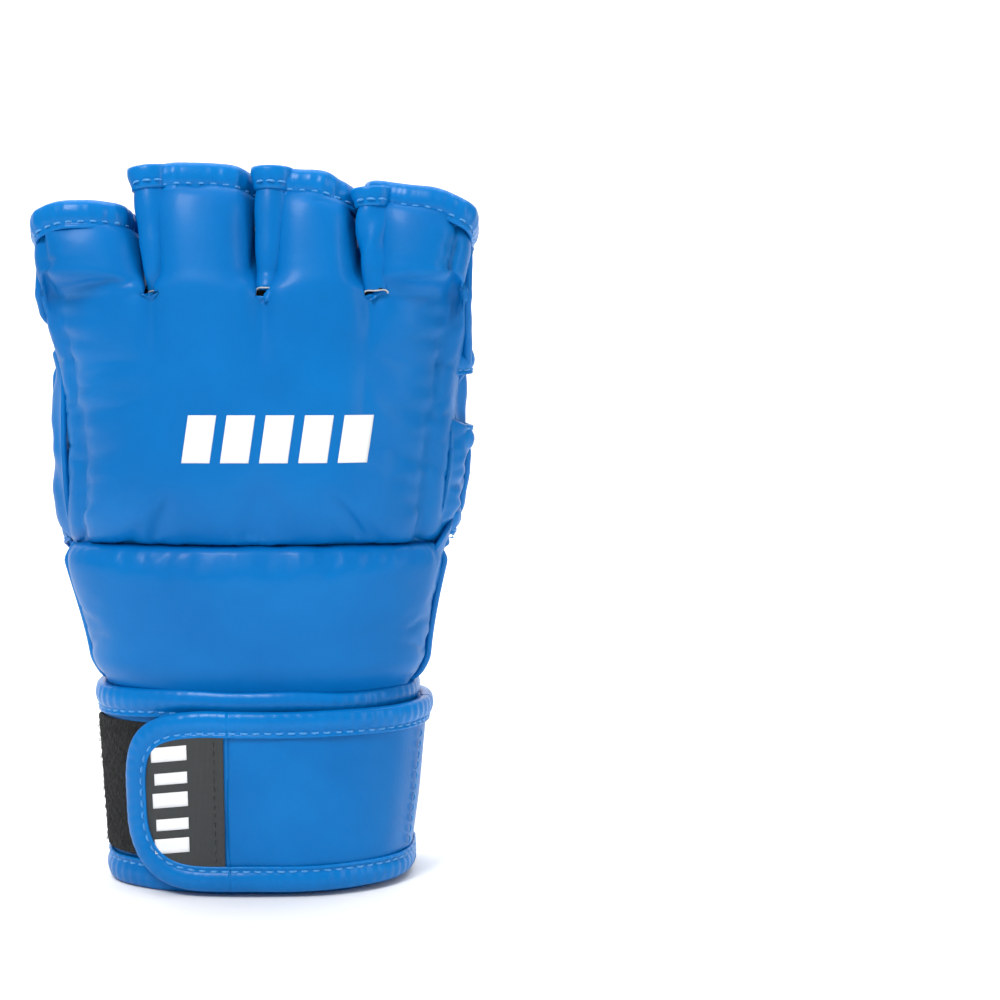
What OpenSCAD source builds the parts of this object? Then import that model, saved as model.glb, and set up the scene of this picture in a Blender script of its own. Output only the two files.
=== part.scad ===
// Open-palm grappling glove, right hand, standing upright on its cuff.
// +Z runs from the cuff to the fingertips, -Y is the padded back of the hand, +Y the palm,
// -X the thumb side and +X the little-finger side. Every panel lies on one of two surfaces,
// the hand surface and a finger column, at a depth t under the outer skin (negative is proud of it).

/* [Overall] */
// Width of the hand part across the knuckles
hand_w = 133; // [110:1:160]
// Height from the top of the cuff to the finger roots
hand_l = 122; // [102:1:147]
// Width across the four finger columns at their rims
tips_w = 152; // [127:1:182]
// Length of the longest finger column above the finger roots
column_l = 42; // [35:1:51]
// Distance from the frame's middle to the face of the knuckle pad
back_reach = 40.5; // [34:0.5:49]

/* [Cuff] */
// Height of the cuff
cuff_h = 64; // [54:1:77]
// Width of the cuff at its top, without the strap
cuff_w = 109; // [91:1:131]
// Depth of the cuff from back to palm
cuff_d = 69; // [58:1:83]
// How much each side of the cuff narrows towards its lower edge
cuff_taper = 4; // [0:0.5:6]
// Thickness of the cuff's leather and padding
cuff_t = 2.4; // [1.8:0.1:3]
// Height of the bound edges of the cuff
cuff_binding_h = 8.5; // [6:0.5:10]

/* [Padding] */
// Thickness of the knuckle pad with its cover and lining
knuckle_pad_t = 16; // [13:0.5:19]
// Thickness of the pad on the back of the hand
back_pad_t = 10; // [8:0.5:12]
// Thickness of the pad at the finger roots
column_pad_t = 11; // [9:0.5:13]
// Thickness of the pad at the finger rims
rim_pad_t = 6; // [5:0.5:7]
// Thickness of the padded wall along both sides of the hand
side_wall_t = 4.6; // [4:0.1:5.5]
// Thickness of a sleeve and its lining on the palm side of a finger
sleeve_wall_t = 2.8; // [2.6:0.1:3.4]

/* [Leather] */
// Thickness of the cover leather
leather_t = 1.2; // [1:0.1:1.4]
// Thickness of the ribbed lining
lining_t = 1.1; // [0.9:0.1:1.3]
// Thickness of a palm panel
panel_t = 1.6; // [1.3:0.1:2]
// Width of the folded binding tape
binding_w = 7; // [5:0.5:8]
// Thickness of the binding tape where it stands proud of a panel
binding_t = 0.9; // [0.7:0.1:1.1]

/* [Fingers] */
// Height of each column's rim below the longest one, from the index finger
column_drop = [12, 0, 2, 7];
// How much lower each rim is on the palm side than on the back
rim_drop = 10; // [6:1:11]
// Height of the bound rim of a finger
rim_h = 8; // [6:0.5:10]
// Half of the gap between two finger columns
half_gap = 0.8; // [0.5:0.1:1.5]
// Depth of a column at the finger roots
root_d = 39; // [33:1:46]
// Depth of a column at its rim
rim_d = 36; // [30:1:43]
// Radius of the rolled leather strip in each groove between two fingers
roll_r = 2.4; // [2:0.1:2.8]

/* [Strap] */
// Height of the strap
strap_h = 55; // [46:1:58]
// Height of the strap's lower edge above the surface
strap_z = 2.5; // [1:0.5:3]
// Thickness of the strap
strap_t = 2.5; // [2:0.1:3]
// Angle from the little-finger side to the line that the strap swings about
strap_start = -7; // [-12:1:-4]
// Angle to the line that the tab peels about
tab_start = -96; // [-102:1:-90]
// Angle spanned by the tab
tab_span = 35.5; // [30:0.5:41]
// Angle of the seam where the strap is sewn down on the palm side
strap_seam = 42; // [34:1:50]

/* [Fit] */
// Clearance between two sewn layers of one body
layer_gap = 0.15; // [0.1:0.05:0.25]
// Clearance between the strap and the cuff under it
strap_gap = 0.3; // [0.3:0.05:0.5]
// Height of a binding tape over the curved panel that it edges
tape_lift = 0.6; // [0.5:0.05:0.8]

/* [Hidden] */
FINGERS = ["index", "middle", "ring", "little"];
GROOVES = ["index_middle", "middle_ring", "ring_little"];

blue = [0.0, 0.42, 0.74];
edge_blue = [0.04, 0.5, 0.84];
foam_grey = [0.75, 0.76, 0.78];
lining_black = [0.08, 0.09, 0.1];
loop_black = [0.03, 0.04, 0.05];
label_grey = [0.2, 0.22, 0.23];

// heights
root_h = cuff_h + hand_l;
crease_h = cuff_h + 0.37 * hand_l;
crease_gap = 1.2;
pad_bottom_h = cuff_h + 3;
// stack of pieces proud of the cuff: loop patch, gap, hook patch, strap
loop_t = 1.1;
hook_t = 0.8;
label_t = 0.4;
hook_in = loop_t + layer_gap + strap_gap;
strap_in = hook_in + hook_t + layer_gap;
strap_out = strap_in + strap_t;
strap_edge_out = strap_out + layer_gap + binding_t;
// positions of the hand's middle from back to palm
cuff_y = cuff_d / 2 - back_reach + 12.5;
palm_reach = cuff_y + cuff_d / 2;
root_palm_y = root_d - back_reach + 14;
root_mid_y = -6;
// roundness of the hand and finger sections, 2 is an ellipse
hand_round = 2.4;
finger_round = 2.3;
// surface length of one degree of the hand section, for tape widths
mm_per_deg = 1.2;

function mix(a, b, f) = a + (b - a) * f;
function clamp(f) = max(0, min(1, f));
function ease(f) = let (c = clamp(f)) c * c * (3 - 2 * c);
function power(v, e) = sign(v) * pow(abs(v), e);

// share of the hand's height, 0 at the cuff's top and 1 at the finger roots
function hand_share(z) = (z - cuff_h) / hand_l;
function hand_z(f) = cuff_h + f * hand_l;
function thumb_reach(z) = z < cuff_h
    ? cuff_w / 2 - cuff_taper * (1 - z / cuff_h)
    : mix(cuff_w / 2 + 1, hand_w / 2, ease(hand_share(z) / 0.5));
function little_reach(z) = z < cuff_h
    ? cuff_w / 2 - strap_edge_out - cuff_taper * (1 - z / cuff_h)
    : mix(cuff_w / 2 - 2, hand_w / 2 - 0.5, ease(hand_share(z) / 0.7));
function back_y(z) = z < cuff_h
    ? cuff_y - cuff_d / 2
    : -mix(cuff_d / 2 - cuff_y + 2, back_reach, ease(hand_share(z) / 0.55));
function palm_y(z) = z < cuff_h
    ? palm_reach
    : mix(palm_reach, root_palm_y, pow(clamp(hand_share(z)), 1.3));
function mid_y(z) = mix(cuff_y, root_mid_y, clamp(hand_share(z)));

// a point of the hand surface: 0 degrees is the little-finger side, 90 the palm, 180 the thumb side
function hand_point(u, z, t) =
    let (
        side = cos(u) >= 0 ? little_reach(z) - t : thumb_reach(z) - t,
        depth = sin(u) >= 0 ? palm_y(z) - mid_y(z) - t : mid_y(z) - back_y(z) - t
    )
    [side * power(cos(u), 2 / hand_round), mid_y(z) + depth * power(sin(u), 2 / hand_round), z];

// thickness of the padded wall of the hand at an angle and height
function hand_wall(u, z) = mix(side_wall_t,
    z < crease_h ? back_pad_t : knuckle_pad_t, ease(-1.2 * sin(u)));

// finger columns: edges from the thumb side at the roots and at the rims
root_edges = [for (share = [0, 0.28, 0.535, 0.783, 1]) mix(-hand_w / 2 - 1, hand_w / 2 - 0.5, share)];
rim_edges = [for (share = [-0.503, -0.224, 0.0165, 0.237, 0.497]) tips_w * share];
function column_share(z) = (z - root_h) / column_l;
function column_edge(k, z) = mix(root_edges[k], rim_edges[k], column_share(z));
function column_mid_y(z) = mix(root_d / 2 - back_reach, rim_d / 2 - back_reach + 9, column_share(z));
function column_half_d(z) = mix(root_d, rim_d, column_share(z)) / 2;
function finger_point(k, u, z, t) =
    let (
        low = column_edge(k, z) + half_gap,
        high = column_edge(k + 1, z) - half_gap
    )
    [
        (low + high) / 2 + ((high - low) / 2 - t) * power(cos(u), 2 / finger_round),
        column_mid_y(z) + (column_half_d(z) - t) * power(sin(u), 2 / finger_round),
        z
    ];
function finger_wall(u, z) = sin(u) < 0
    ? mix(side_wall_t, mix(column_pad_t, rim_pad_t, column_share(z)), ease(-1.2 * sin(u)))
    : mix(side_wall_t, sleeve_wall_t, ease(1.2 * sin(u)));
function rim_z(k, u) = root_h + column_l - column_drop[k] - rim_drop * (1 + sin(u)) / 2;

// two triangles of the grid cell at i, j, where a row holds n points
function cell_faces(i, j, n) =
    let (a = j * n + i)
    [[a, a + n + 1, a + 1], [a, a + n, a + n + 1]];
function flip(faces) = [for (f = faces) [f[2], f[1], f[0]]];
function shift(faces, k) = [for (f = faces) [f[0] + k, f[1] + k, f[2] + k]];

// closed panel between two depths: at(s, v) gives a point's angle and height, and place(u, z, t)
// places it; s grows with the angle round the hand
module panel(place, at, outer, inner, ns, nv) {
    n = ns + 1;
    count = n * (nv + 1);
    grid = [for (j = [0:nv]) for (i = [0:ns]) at(i / ns, j / nv)];
    skin = [for (j = [0:nv - 1]) for (i = [0:ns - 1]) each cell_faces(i, j, n)];
    rim = concat(
        [for (i = [0:ns]) i],
        [for (j = [1:nv]) j * n + ns],
        [for (i = [1:ns]) nv * n + ns - i],
        [for (j = [1:nv - 1]) (nv - j) * n]
    );
    wall = [for (i = [0:len(rim) - 1])
        let (a = rim[i], b = rim[(i + 1) % len(rim)])
        each [[a, b, b + count], [a, b + count, a + count]]];
    polyhedron(
        points = concat(
            [for (p = grid) place(p[0], p[1], outer(p[0], p[1]))],
            [for (p = grid) place(p[0], p[1], inner(p[0], p[1]))]
        ),
        faces = concat(skin, flip(shift(skin, count)), wall)
    );
}

// closed ring between two depths, from the height low(u) to high(u)
module ring(place, low, high, outer, inner, ns, nv) {
    count = ns * (nv + 1);
    grid = [for (j = [0:nv]) for (i = [0:ns - 1])
        let (u = 360 * i / ns) [u, mix(low(u), high(u), j / nv)]];
    skin = [for (j = [0:nv - 1]) for (i = [0:ns - 1])
        let (a = j * ns + i, b = j * ns + (i + 1) % ns)
        each [[a, b + ns, b], [a, a + ns, b + ns]]];
    ends = [for (i = [0:ns - 1])
        let (a = i, b = (i + 1) % ns, c = nv * ns + i, d = nv * ns + (i + 1) % ns)
        each [[a, b, b + count], [a, b + count, a + count],
            [c, d + count, d], [c, c + count, d + count]]];
    polyhedron(
        points = concat(
            [for (p = grid) place(p[0], p[1], outer(p[0], p[1]))],
            [for (p = grid) place(p[0], p[1], inner(p[0], p[1]))]
        ),
        faces = concat(skin, flip(shift(skin, count)), ends)
    );
}

// unit normal to the left of a path of [angle, height] points, in millimetres of surface
function path_left(path, i) =
    let (
        a = path[max(0, i - 1)],
        b = path[min(len(path) - 1, i + 1)],
        d = [(b[0] - a[0]) * mm_per_deg, b[1] - a[1]]
    )
    [-d[1], d[0]] / norm(d);

// tape of binding_w width laid on the hand surface, with its outer edge on the path
module edge_tape(path, out_t, in_t, width = binding_w) {
    last = len(path) - 1;
    panel(
        function(u, z, t) hand_point(u, z, t),
        function(s, v)
            let (
                i = round(s * last),
                inset = (1 - v) * width,
                left = path_left(path, i)
            )
            [path[i][0] - left[0] * inset / mm_per_deg, path[i][1] - left[1] * inset],
        function(u, z) out_t,
        function(u, z) in_t,
        last, 1
    );
}

// ---- fingers ----
function cover_low() = root_h + layer_gap;
function cover_high(k, u) = rim_z(k, u) - rim_h - tape_lift;

module finger_shell(k, from, to, outer, inner, ns) {
    panel(
        function(u, z, t) finger_point(k, u, z, t),
        function(s, v) let (u = mix(from, to, s)) [u, mix(cover_low(), cover_high(k, u), v)],
        outer, inner, ns, 3
    );
}

module finger_cover(k) {
    color(blue) finger_shell(k, 181, 359, function(u, z) 0, function(u, z) leather_t, 10);
}

module finger_foam(k) {
    color(foam_grey) finger_shell(k, 182, 358,
        function(u, z) leather_t + layer_gap,
        function(u, z) finger_wall(u, z) - lining_t - layer_gap, 10);
}

module finger_sleeve(k) {
    color(blue) finger_shell(k, 2, 178, function(u, z) 0, function(u, z) leather_t, 10);
}

module finger_lining(k) {
    color(lining_black) ring(
        function(u, z, t) finger_point(k, u, z, t),
        function(u) cover_low(),
        function(u) cover_high(k, u),
        function(u, z) finger_wall(u, z) - lining_t,
        function(u, z) finger_wall(u, z), 20, 3);
}

module finger_rim_binding(k) {
    color(edge_blue) ring(
        function(u, z, t) finger_point(k, u, z, t),
        function(u) rim_z(k, u) - rim_h,
        function(u) rim_z(k, u),
        function(u, z) 0,
        function(u, z) finger_wall(u, z) + 0.6, 20, 1);
}

// rolled strip standing in the groove between two columns on the back
module groove_roll(k) {
    low = root_h + 0.12 * column_l;
    high = root_h + column_l - max(column_drop[k], column_drop[k + 1]) - 4;
    foot = [column_edge(k + 1, low), column_mid_y(low) - 0.8 * column_half_d(low), low];
    head = [column_edge(k + 1, high), column_mid_y(high) - 0.8 * column_half_d(high), high];
    run = head - foot;
    color(blue) translate(foot)
        rotate([0, acos(run[2] / norm(run)), atan2(run[1], run[0])])
            cylinder(h = norm(run), r = roll_r, $fn = 32);
}

// ---- padded back ----
pad_from = 182;
pad_to = 358;
pad_step = (pad_to - pad_from) / 20;
module hand_shell(from, to, low, high, outer, inner, ns, nv) {
    panel(
        function(u, z, t) hand_point(u, z, t),
        function(s, v) [mix(from, to, s), mix(low, high, v)],
        outer, inner, ns, nv
    );
}

module knuckle_cover() {
    color(blue) hand_shell(181, 359, crease_h + crease_gap, root_h, function(u, z) 0,
        function(u, z) leather_t, 20, 4);
}

module knuckle_foam() {
    color(foam_grey) hand_shell(pad_from, pad_to, crease_h + crease_gap, root_h,
        function(u, z) leather_t + layer_gap,
        function(u, z) hand_wall(u, z) - lining_t - layer_gap, 20, 4);
}

module back_cover() {
    color(blue) hand_shell(189, 351, pad_bottom_h, crease_h - crease_gap, function(u, z) 0,
        function(u, z) leather_t, 18, 3);
}

module back_foam() {
    color(foam_grey) hand_shell(pad_from + pad_step, pad_to - pad_step, pad_bottom_h,
        crease_h - crease_gap,
        function(u, z) leather_t + layer_gap,
        function(u, z) hand_wall(u, z) - lining_t - layer_gap, 18, 3);
}

module hand_lining() {
    rows = concat(
        [for (j = [0:3]) mix(pad_bottom_h, crease_h - crease_gap, j / 3)],
        [for (j = [0:4]) mix(crease_h + crease_gap, root_h, j / 4)]
    );
    color(lining_black) panel(
        function(u, z, t) hand_point(u, z, t),
        function(s, v) [mix(pad_from, pad_to, s), rows[round(v * 8)]],
        function(u, z) hand_wall(u, z) - lining_t,
        function(u, z) hand_wall(u, z), 20, 8
    );
}

module thumb_gusset() {
    color(blue) hand_shell(176, 188.5, pad_bottom_h, crease_h - crease_gap, function(u, z) 0,
        function(u, z) panel_t, 2, 3);
}

module little_gusset() {
    color(blue) hand_shell(351.5, 358.5, pad_bottom_h, crease_h - crease_gap, function(u, z) 0,
        function(u, z) panel_t, 2, 3);
}

// bound side edges of the knuckle pad, on the palm side of it
module thumb_edge_binding() {
    color(edge_blue) hand_shell(171, 180.5, hand_z(0.47), hand_z(0.84),
        function(u, z) -0.3, function(u, z) side_wall_t, 2, 3);
}

module little_edge_binding() {
    color(edge_blue) hand_shell(359.5, 369, hand_z(0.5), hand_z(0.61),
        function(u, z) -0.3, function(u, z) side_wall_t, 2, 2);
}

// ---- palm ----
// share of the hand's height of the band's edges, from the little-finger side
function band_top_path() = [for (p = [[4, 0.87], [24, 0.88], [40, 0.91], [56, 0.94], [68, 0.98],
    [82, 1.02], [93, 1.04], [110, 1.04], [126, 1.03], [133, 1.1]]) [p[0], hand_z(p[1])]];
function band_bottom_path() = [for (p = [[4, 0.62], [22, 0.63], [40, 0.67], [56, 0.71], [67, 0.75],
    [80, 0.83], [93, 0.875], [110, 0.885], [140, 0.885], [172, 0.875]]) [p[0], hand_z(p[1])]];
function height_on(path, u) = lookup(u, path);
// the same edge in short steps of about six degrees, from its lowest to its highest angle
function stepped(path) =
    let (
        from = path[0][0],
        to = path[len(path) - 1][0],
        steps = ceil((to - from) / 6)
    )
    [for (i = [0:steps]) let (u = mix(from, to, i / steps)) [u, height_on(path, u)]];
function backwards(path) = [for (i = [len(path) - 1:-1:0]) path[i]];

module palm_band() {
    color(blue) panel(
        function(u, z, t) hand_point(u, z, t),
        function(s, v)
            let (u = mix(9.5, 172, s))
            [u, mix(height_on(band_bottom_path(), u), height_on(band_top_path(), u), v)],
        function(u, z) 0,
        function(u, z) panel_t, 20, 4
    );
}

module palm_band_top_binding() {
    color(edge_blue) edge_tape(stepped(band_top_path()), -tape_lift - binding_t, -tape_lift);
}

module palm_band_bottom_binding() {
    color(edge_blue) edge_tape(backwards(stepped(band_bottom_path())), -tape_lift - binding_t,
        -tape_lift);
}

// heel panel: outline from the little-finger side over the tongue and down the thumb side
function heel_little_edge(z) =
    lookup(hand_share(z), [[0.45, 0], [0.47, 20], [0.54, 50], [0.67, 67], [0.8, 82], [0.83, 86]]);
function heel_thumb_edge(z) =
    lookup(hand_share(z), [[0.0, 104], [0.13, 94], [0.24, 91], [0.39, 93.5], [0.49, 100],
        [0.57, 104.5], [0.67, 106.5], [0.75, 102.5], [0.81, 95], [0.83, 91]]);

module heel_panel() {
    color(blue) panel(
        function(u, z, t) hand_point(u, z, t),
        function(s, v)
            let (z = mix(pad_bottom_h - 1, hand_z(0.83), v))
            [mix(heel_little_edge(z), heel_thumb_edge(z), s), z],
        function(u, z) 0,
        function(u, z) panel_t, 10, 14
    );
}

module heel_binding() {
    up = [for (f = [0.47, 0.5, 0.54, 0.6, 0.67, 0.74, 0.8])
        [heel_little_edge(hand_z(f)), hand_z(f)]];
    down = [for (f = [0.81, 0.75, 0.67, 0.57, 0.49, 0.39, 0.31, 0.24, 0.13, 0.05])
        [heel_thumb_edge(hand_z(f)), hand_z(f)]];
    color(edge_blue) edge_tape(concat(up, down), -tape_lift - binding_t, -tape_lift);
}

// oval padded patch on the heel panel
patch_u = 79;
patch_half = 9;
patch_low = 0.35;
patch_high = 0.69;
module patch_layer(out_t, in_t) {
    panel(
        function(u, z, t) hand_point(u, z, t),
        function(s, v)
            let (
                f = mix(0.04, 0.96, v),
                half = patch_half * sqrt(4 * f * (1 - f)) * (1 - 0.3 * f)
            )
            [patch_u + (2 * s - 1) * half, hand_z(mix(patch_low, patch_high, f))],
        function(u, z) out_t,
        function(u, z) in_t, 8, 10
    );
}

module palm_patch_foam() {
    color(foam_grey) patch_layer(-layer_gap - 2, -layer_gap);
}

module palm_patch_cover() {
    color(blue) patch_layer(-2 * layer_gap - 2 - leather_t, -2 * layer_gap - 2);
}

// wrist flap on the thumb side, with its bound edge sweeping down to the cuff
function flap_path() = [for (p = [[107, 0.045], [113, 0.085], [119, 0.145], [128, 0.23],
    [138, 0.28], [152, 0.35], [170, 0.41], [179, 0.43]]) [p[0], hand_z(p[1])]];

module wrist_flap() {
    color(blue) panel(
        function(u, z, t) hand_point(u, z, t),
        function(s, v)
            let (u = mix(107, 175.5, s))
            [u, mix(cuff_h + 1, height_on(flap_path(), u), v)],
        function(u, z) 0,
        function(u, z) panel_t, 12, 3
    );
}

module wrist_flap_binding() {
    color(edge_blue) edge_tape(stepped(flap_path()), -tape_lift - binding_t, -tape_lift);
}

// ---- cuff ----
module cuff_wall(low, high, out_t, in_t, ns, nv) {
    ring(
        function(u, z, t) hand_point(u, z, t),
        function(u) low,
        function(u) high,
        function(u, z) out_t,
        function(u, z) in_t, ns, nv
    );
}

module cuff_band() {
    color(blue) cuff_wall(cuff_binding_h + layer_gap, cuff_h - cuff_binding_h - layer_gap, 0,
        cuff_t, 40, 2);
}

module cuff_lining() {
    color(lining_black) cuff_wall(cuff_binding_h + layer_gap, cuff_h - cuff_binding_h - layer_gap,
        cuff_t + layer_gap, cuff_t + layer_gap + lining_t, 40, 2);
}

module cuff_top_binding() {
    color(edge_blue) cuff_wall(cuff_h - cuff_binding_h, cuff_h - layer_gap, -0.6,
        cuff_t + lining_t + 0.5, 40, 1);
}

// lower binding, whose flat under face the glove stands on
module cuff_bottom_binding() {
    outline = function(t) [for (i = [0:47]) let (p = hand_point(7.5 * i, 0, t)) [p[0], p[1]]];
    color(edge_blue) linear_extrude(height = cuff_binding_h)
        difference() {
            polygon(outline(-0.6));
            polygon(outline(cuff_t + lining_t + 0.5));
        }
}

module loop_patch() {
    color(loop_black) hand_shell(186, 256, cuff_binding_h + 1.5, cuff_h - cuff_binding_h - 1.5,
        function(u, z) -layer_gap - loop_t, function(u, z) -layer_gap, 12, 2);
}

// ---- strap ----
strap_mid = strap_z + strap_h / 2;
module strap_root() {
    color(blue) hand_shell(strap_start + 1, strap_seam, strap_z, strap_z + strap_h,
        function(u, z) -strap_out, function(u, z) -layer_gap - 0.6, 8, 2);
}

module strap() {
    color(blue) hand_shell(tab_start + 0.6, strap_start, strap_z, strap_z + strap_h,
        function(u, z) -strap_out, function(u, z) -strap_in, 12, 2);
}

module strap_binding() {
    color(edge_blue) for (edge = [strap_z, strap_z + strap_h - binding_w])
        hand_shell(tab_start + 0.6, strap_start, edge, edge + binding_w,
            function(u, z) -strap_edge_out, function(u, z) -strap_out - layer_gap, 12, 1);
}

// the tab is half an oval: from(0) at its lower corner, round its tip, to its upper corner
module tab_layer(inner_share, outer_share, out_t, in_t, nv) {
    panel(
        function(u, z, t) hand_point(u, z, t),
        function(s, v)
            let (
                turn = mix(-90, 90, s),
                reach = mix(inner_share, outer_share, v)
            )
            [
                tab_start - tab_span * reach * power(cos(turn), 2 / 2.8),
                strap_mid + strap_h / 2 * reach * power(sin(turn), 2 / 2.8)
            ],
        function(u, z) -out_t,
        function(u, z) -in_t, 16, nv
    );
}

module strap_tab() {
    color(blue) tab_layer(0.03, 1, strap_out, strap_in, 4);
}

module tab_binding() {
    color(edge_blue) tab_layer(0.78, 1, strap_edge_out, strap_out + layer_gap, 1);
}

module tab_label() {
    color(label_grey) tab_layer(0.06, 0.74, strap_out + layer_gap + label_t, strap_out + layer_gap,
        3);
}

module hook_patch() {
    color(loop_black) tab_layer(0.06, 0.84, strap_in - layer_gap, hook_in, 3);
}

for (k = [0:3]) finger_cover(k);
for (k = [0:3]) finger_foam(k);
for (k = [0:3]) finger_sleeve(k);
for (k = [0:3]) finger_lining(k);
for (k = [0:3]) finger_rim_binding(k);
for (k = [0:2]) groove_roll(k);
knuckle_cover();
knuckle_foam();
back_cover();
back_foam();
hand_lining();
thumb_edge_binding();
little_edge_binding();
thumb_gusset();
little_gusset();
palm_band();
palm_band_top_binding();
palm_band_bottom_binding();
heel_panel();
heel_binding();
palm_patch_foam();
palm_patch_cover();
wrist_flap();
wrist_flap_binding();
cuff_band();
cuff_lining();
cuff_top_binding();
cuff_bottom_binding();
loop_patch();
strap_root();
strap();
strap_binding();
strap_tab();
tab_binding();
tab_label();
hook_patch();
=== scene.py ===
"""Looks of a right-hand open-palm grappling glove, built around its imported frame.

The glove stands on its cuff: +Z runs to the fingertips, -Y is the padded back, +Y the palm,
-X the thumb side and +X the little-finger side. Shapes are worked out in millimetres and
turned into metres where a mesh is made.
"""
from __future__ import annotations

import logging
import math
import random
from dataclasses import dataclass
from enum import Enum
from typing import Callable, Iterable, Sequence

import bpy
import bmesh
import numpy as np
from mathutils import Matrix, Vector
from mathutils.bvhtree import BVHTree

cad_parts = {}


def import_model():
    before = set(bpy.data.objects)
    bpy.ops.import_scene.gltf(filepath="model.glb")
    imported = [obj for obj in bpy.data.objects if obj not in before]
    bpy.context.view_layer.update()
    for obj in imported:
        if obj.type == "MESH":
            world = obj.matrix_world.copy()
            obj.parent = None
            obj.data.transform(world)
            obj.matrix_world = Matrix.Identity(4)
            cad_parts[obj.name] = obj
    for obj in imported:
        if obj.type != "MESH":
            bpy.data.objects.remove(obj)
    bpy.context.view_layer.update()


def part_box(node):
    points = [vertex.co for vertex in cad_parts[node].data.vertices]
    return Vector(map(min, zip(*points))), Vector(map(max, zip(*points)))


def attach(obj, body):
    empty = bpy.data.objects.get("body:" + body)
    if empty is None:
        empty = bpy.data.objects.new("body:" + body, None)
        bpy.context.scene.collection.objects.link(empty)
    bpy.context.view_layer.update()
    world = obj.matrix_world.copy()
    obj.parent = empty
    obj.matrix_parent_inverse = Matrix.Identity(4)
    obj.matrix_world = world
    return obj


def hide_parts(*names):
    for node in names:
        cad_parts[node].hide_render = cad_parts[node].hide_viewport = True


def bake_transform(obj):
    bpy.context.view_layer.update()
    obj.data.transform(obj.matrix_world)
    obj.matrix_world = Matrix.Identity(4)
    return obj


Array = np.ndarray
Surface = Callable[[Array, Array], Array]
MM = 0.001
TURN = 2 * math.pi
LOG = logging.getLogger("glove")


# ---------------------------------------------------------------- number helpers
def smooth(v: Array | float) -> Array:
    """Ease from 0 to 1 with flat ends."""
    c = np.clip(v, 0.0, 1.0)
    return c * c * (3.0 - 2.0 * c)


def mix(a: Array | float, b: Array | float, f: Array | float) -> Array:
    """Straight mix of a and b."""
    return a + (b - a) * f


def power(v: Array, e: float) -> Array:
    """Power that keeps the sign of its base."""
    return np.sign(v) * np.abs(v) ** e


def curve(points: Sequence[tuple[float, float]], at: Array | float) -> Array:
    """Smooth curve through a few chosen points.

    Args:
        points: Position and value pairs in rising order of position.
        at: Positions to read.

    Returns:
        The values there; the end values hold beyond the ends.
    """
    p = np.array([q[0] for q in points], float)
    v = np.array([q[1] for q in points], float)
    slope = np.gradient(v, p)
    x = np.clip(np.asarray(at, float), p[0], p[-1])
    i = np.clip(np.searchsorted(p, x) - 1, 0, len(p) - 2)
    h = p[i + 1] - p[i]
    f = (x - p[i]) / h
    return ((2 * f**3 - 3 * f**2 + 1) * v[i] + (f**3 - 2 * f**2 + f) * h * slope[i]
            + (3 * f**2 - 2 * f**3) * v[i + 1] + (f**3 - f**2) * h * slope[i + 1])


def ripple(a: Array, b: Array, seed: int, length: float) -> Array:
    """Seeded soft unevenness between about -1 and 1.

    Args:
        a: First coordinate in millimetres.
        b: Second coordinate in millimetres.
        seed: Seed of the waves.
        length: Typical wave length in millimetres.

    Returns:
        The unevenness at each point.
    """
    rng = random.Random(seed)
    total = 0.0
    for _ in range(6):
        turn = rng.uniform(0, TURN)
        rate = TURN / (length * rng.uniform(0.7, 1.7))
        total = total + np.sin((a * math.cos(turn) + b * math.sin(turn)) * rate + rng.uniform(0, 6.3))
    return total / 3.4


def running(points: Array) -> Array:
    """Distance covered along a line at each of its points."""
    return np.concatenate([[0.0], np.cumsum(np.linalg.norm(np.diff(points, axis=0), axis=1))])


def unit(v: Array) -> Array:
    """Vectors of length one."""
    return v / np.maximum(np.linalg.norm(v, axis=-1, keepdims=True), 1e-9)


def roll_in(distance: Array, reach: float, depth: float) -> Array:
    """How far a stuffed surface turns in near an edge, as a quarter round.

    Args:
        distance: Distance from the edge in millimetres.
        reach: Distance at which the surface is level again.
        depth: Depth at the edge.

    Returns:
        Depth below the level surface.
    """
    f = 1.0 - np.clip(distance / reach, 0.0, 1.0)
    return depth * (1.0 - np.sqrt(np.maximum(1.0 - f * f, 0.0)))


# ---------------------------------------------------------------- solids
@dataclass
class Solid:
    """Vertices in millimetres and faces of one closed form."""

    verts: Array
    faces: list

    @staticmethod
    def join(parts: Iterable["Solid"]) -> "Solid":
        """Several solids as one, kept apart."""
        verts, faces, base = [], [], 0
        for part in parts:
            verts.append(part.verts)
            faces += [tuple(i + base for i in f) for f in part.faces]
            base += len(part.verts)
        return Solid(np.concatenate(verts), faces)


def grid_faces(rows: int, cols: int, wrap: bool = False) -> list:
    """Quads of a grid of rows by cols points, closed across the columns when wrap is set."""
    last = cols if wrap else cols - 1
    return [(j * cols + i, j * cols + (i + 1) % cols, (j + 1) * cols + (i + 1) % cols, (j + 1) * cols + i)
            for j in range(rows - 1) for i in range(last)]


def grid_normals(grid: Array, wrap: bool = False) -> Array:
    """Outward unit normals of a grid whose columns run with the angle and rows upwards."""
    if wrap:
        across = np.roll(grid, -1, axis=1) - np.roll(grid, 1, axis=1)
    else:
        across = np.gradient(grid, axis=1)
    return unit(np.cross(across, np.gradient(grid, axis=0)))


def shell(outer: Array, inner: Array, quads: list) -> Solid:
    """Closed sheet between two layers of matching points, walled along its open edges."""
    count = len(outer)
    edges: dict = {}
    for q in quads:
        for a, b in zip(q, q[1:] + q[:1]):
            edges[(a, b)] = edges.get((a, b), 0) + 1
    walls = [(b, a, a + count, b + count) for (a, b) in edges if (b, a) not in edges]
    back = [tuple(i + count for i in reversed(q)) for q in quads]
    return Solid(np.concatenate([outer, inner]), list(quads) + back + walls)


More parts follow.
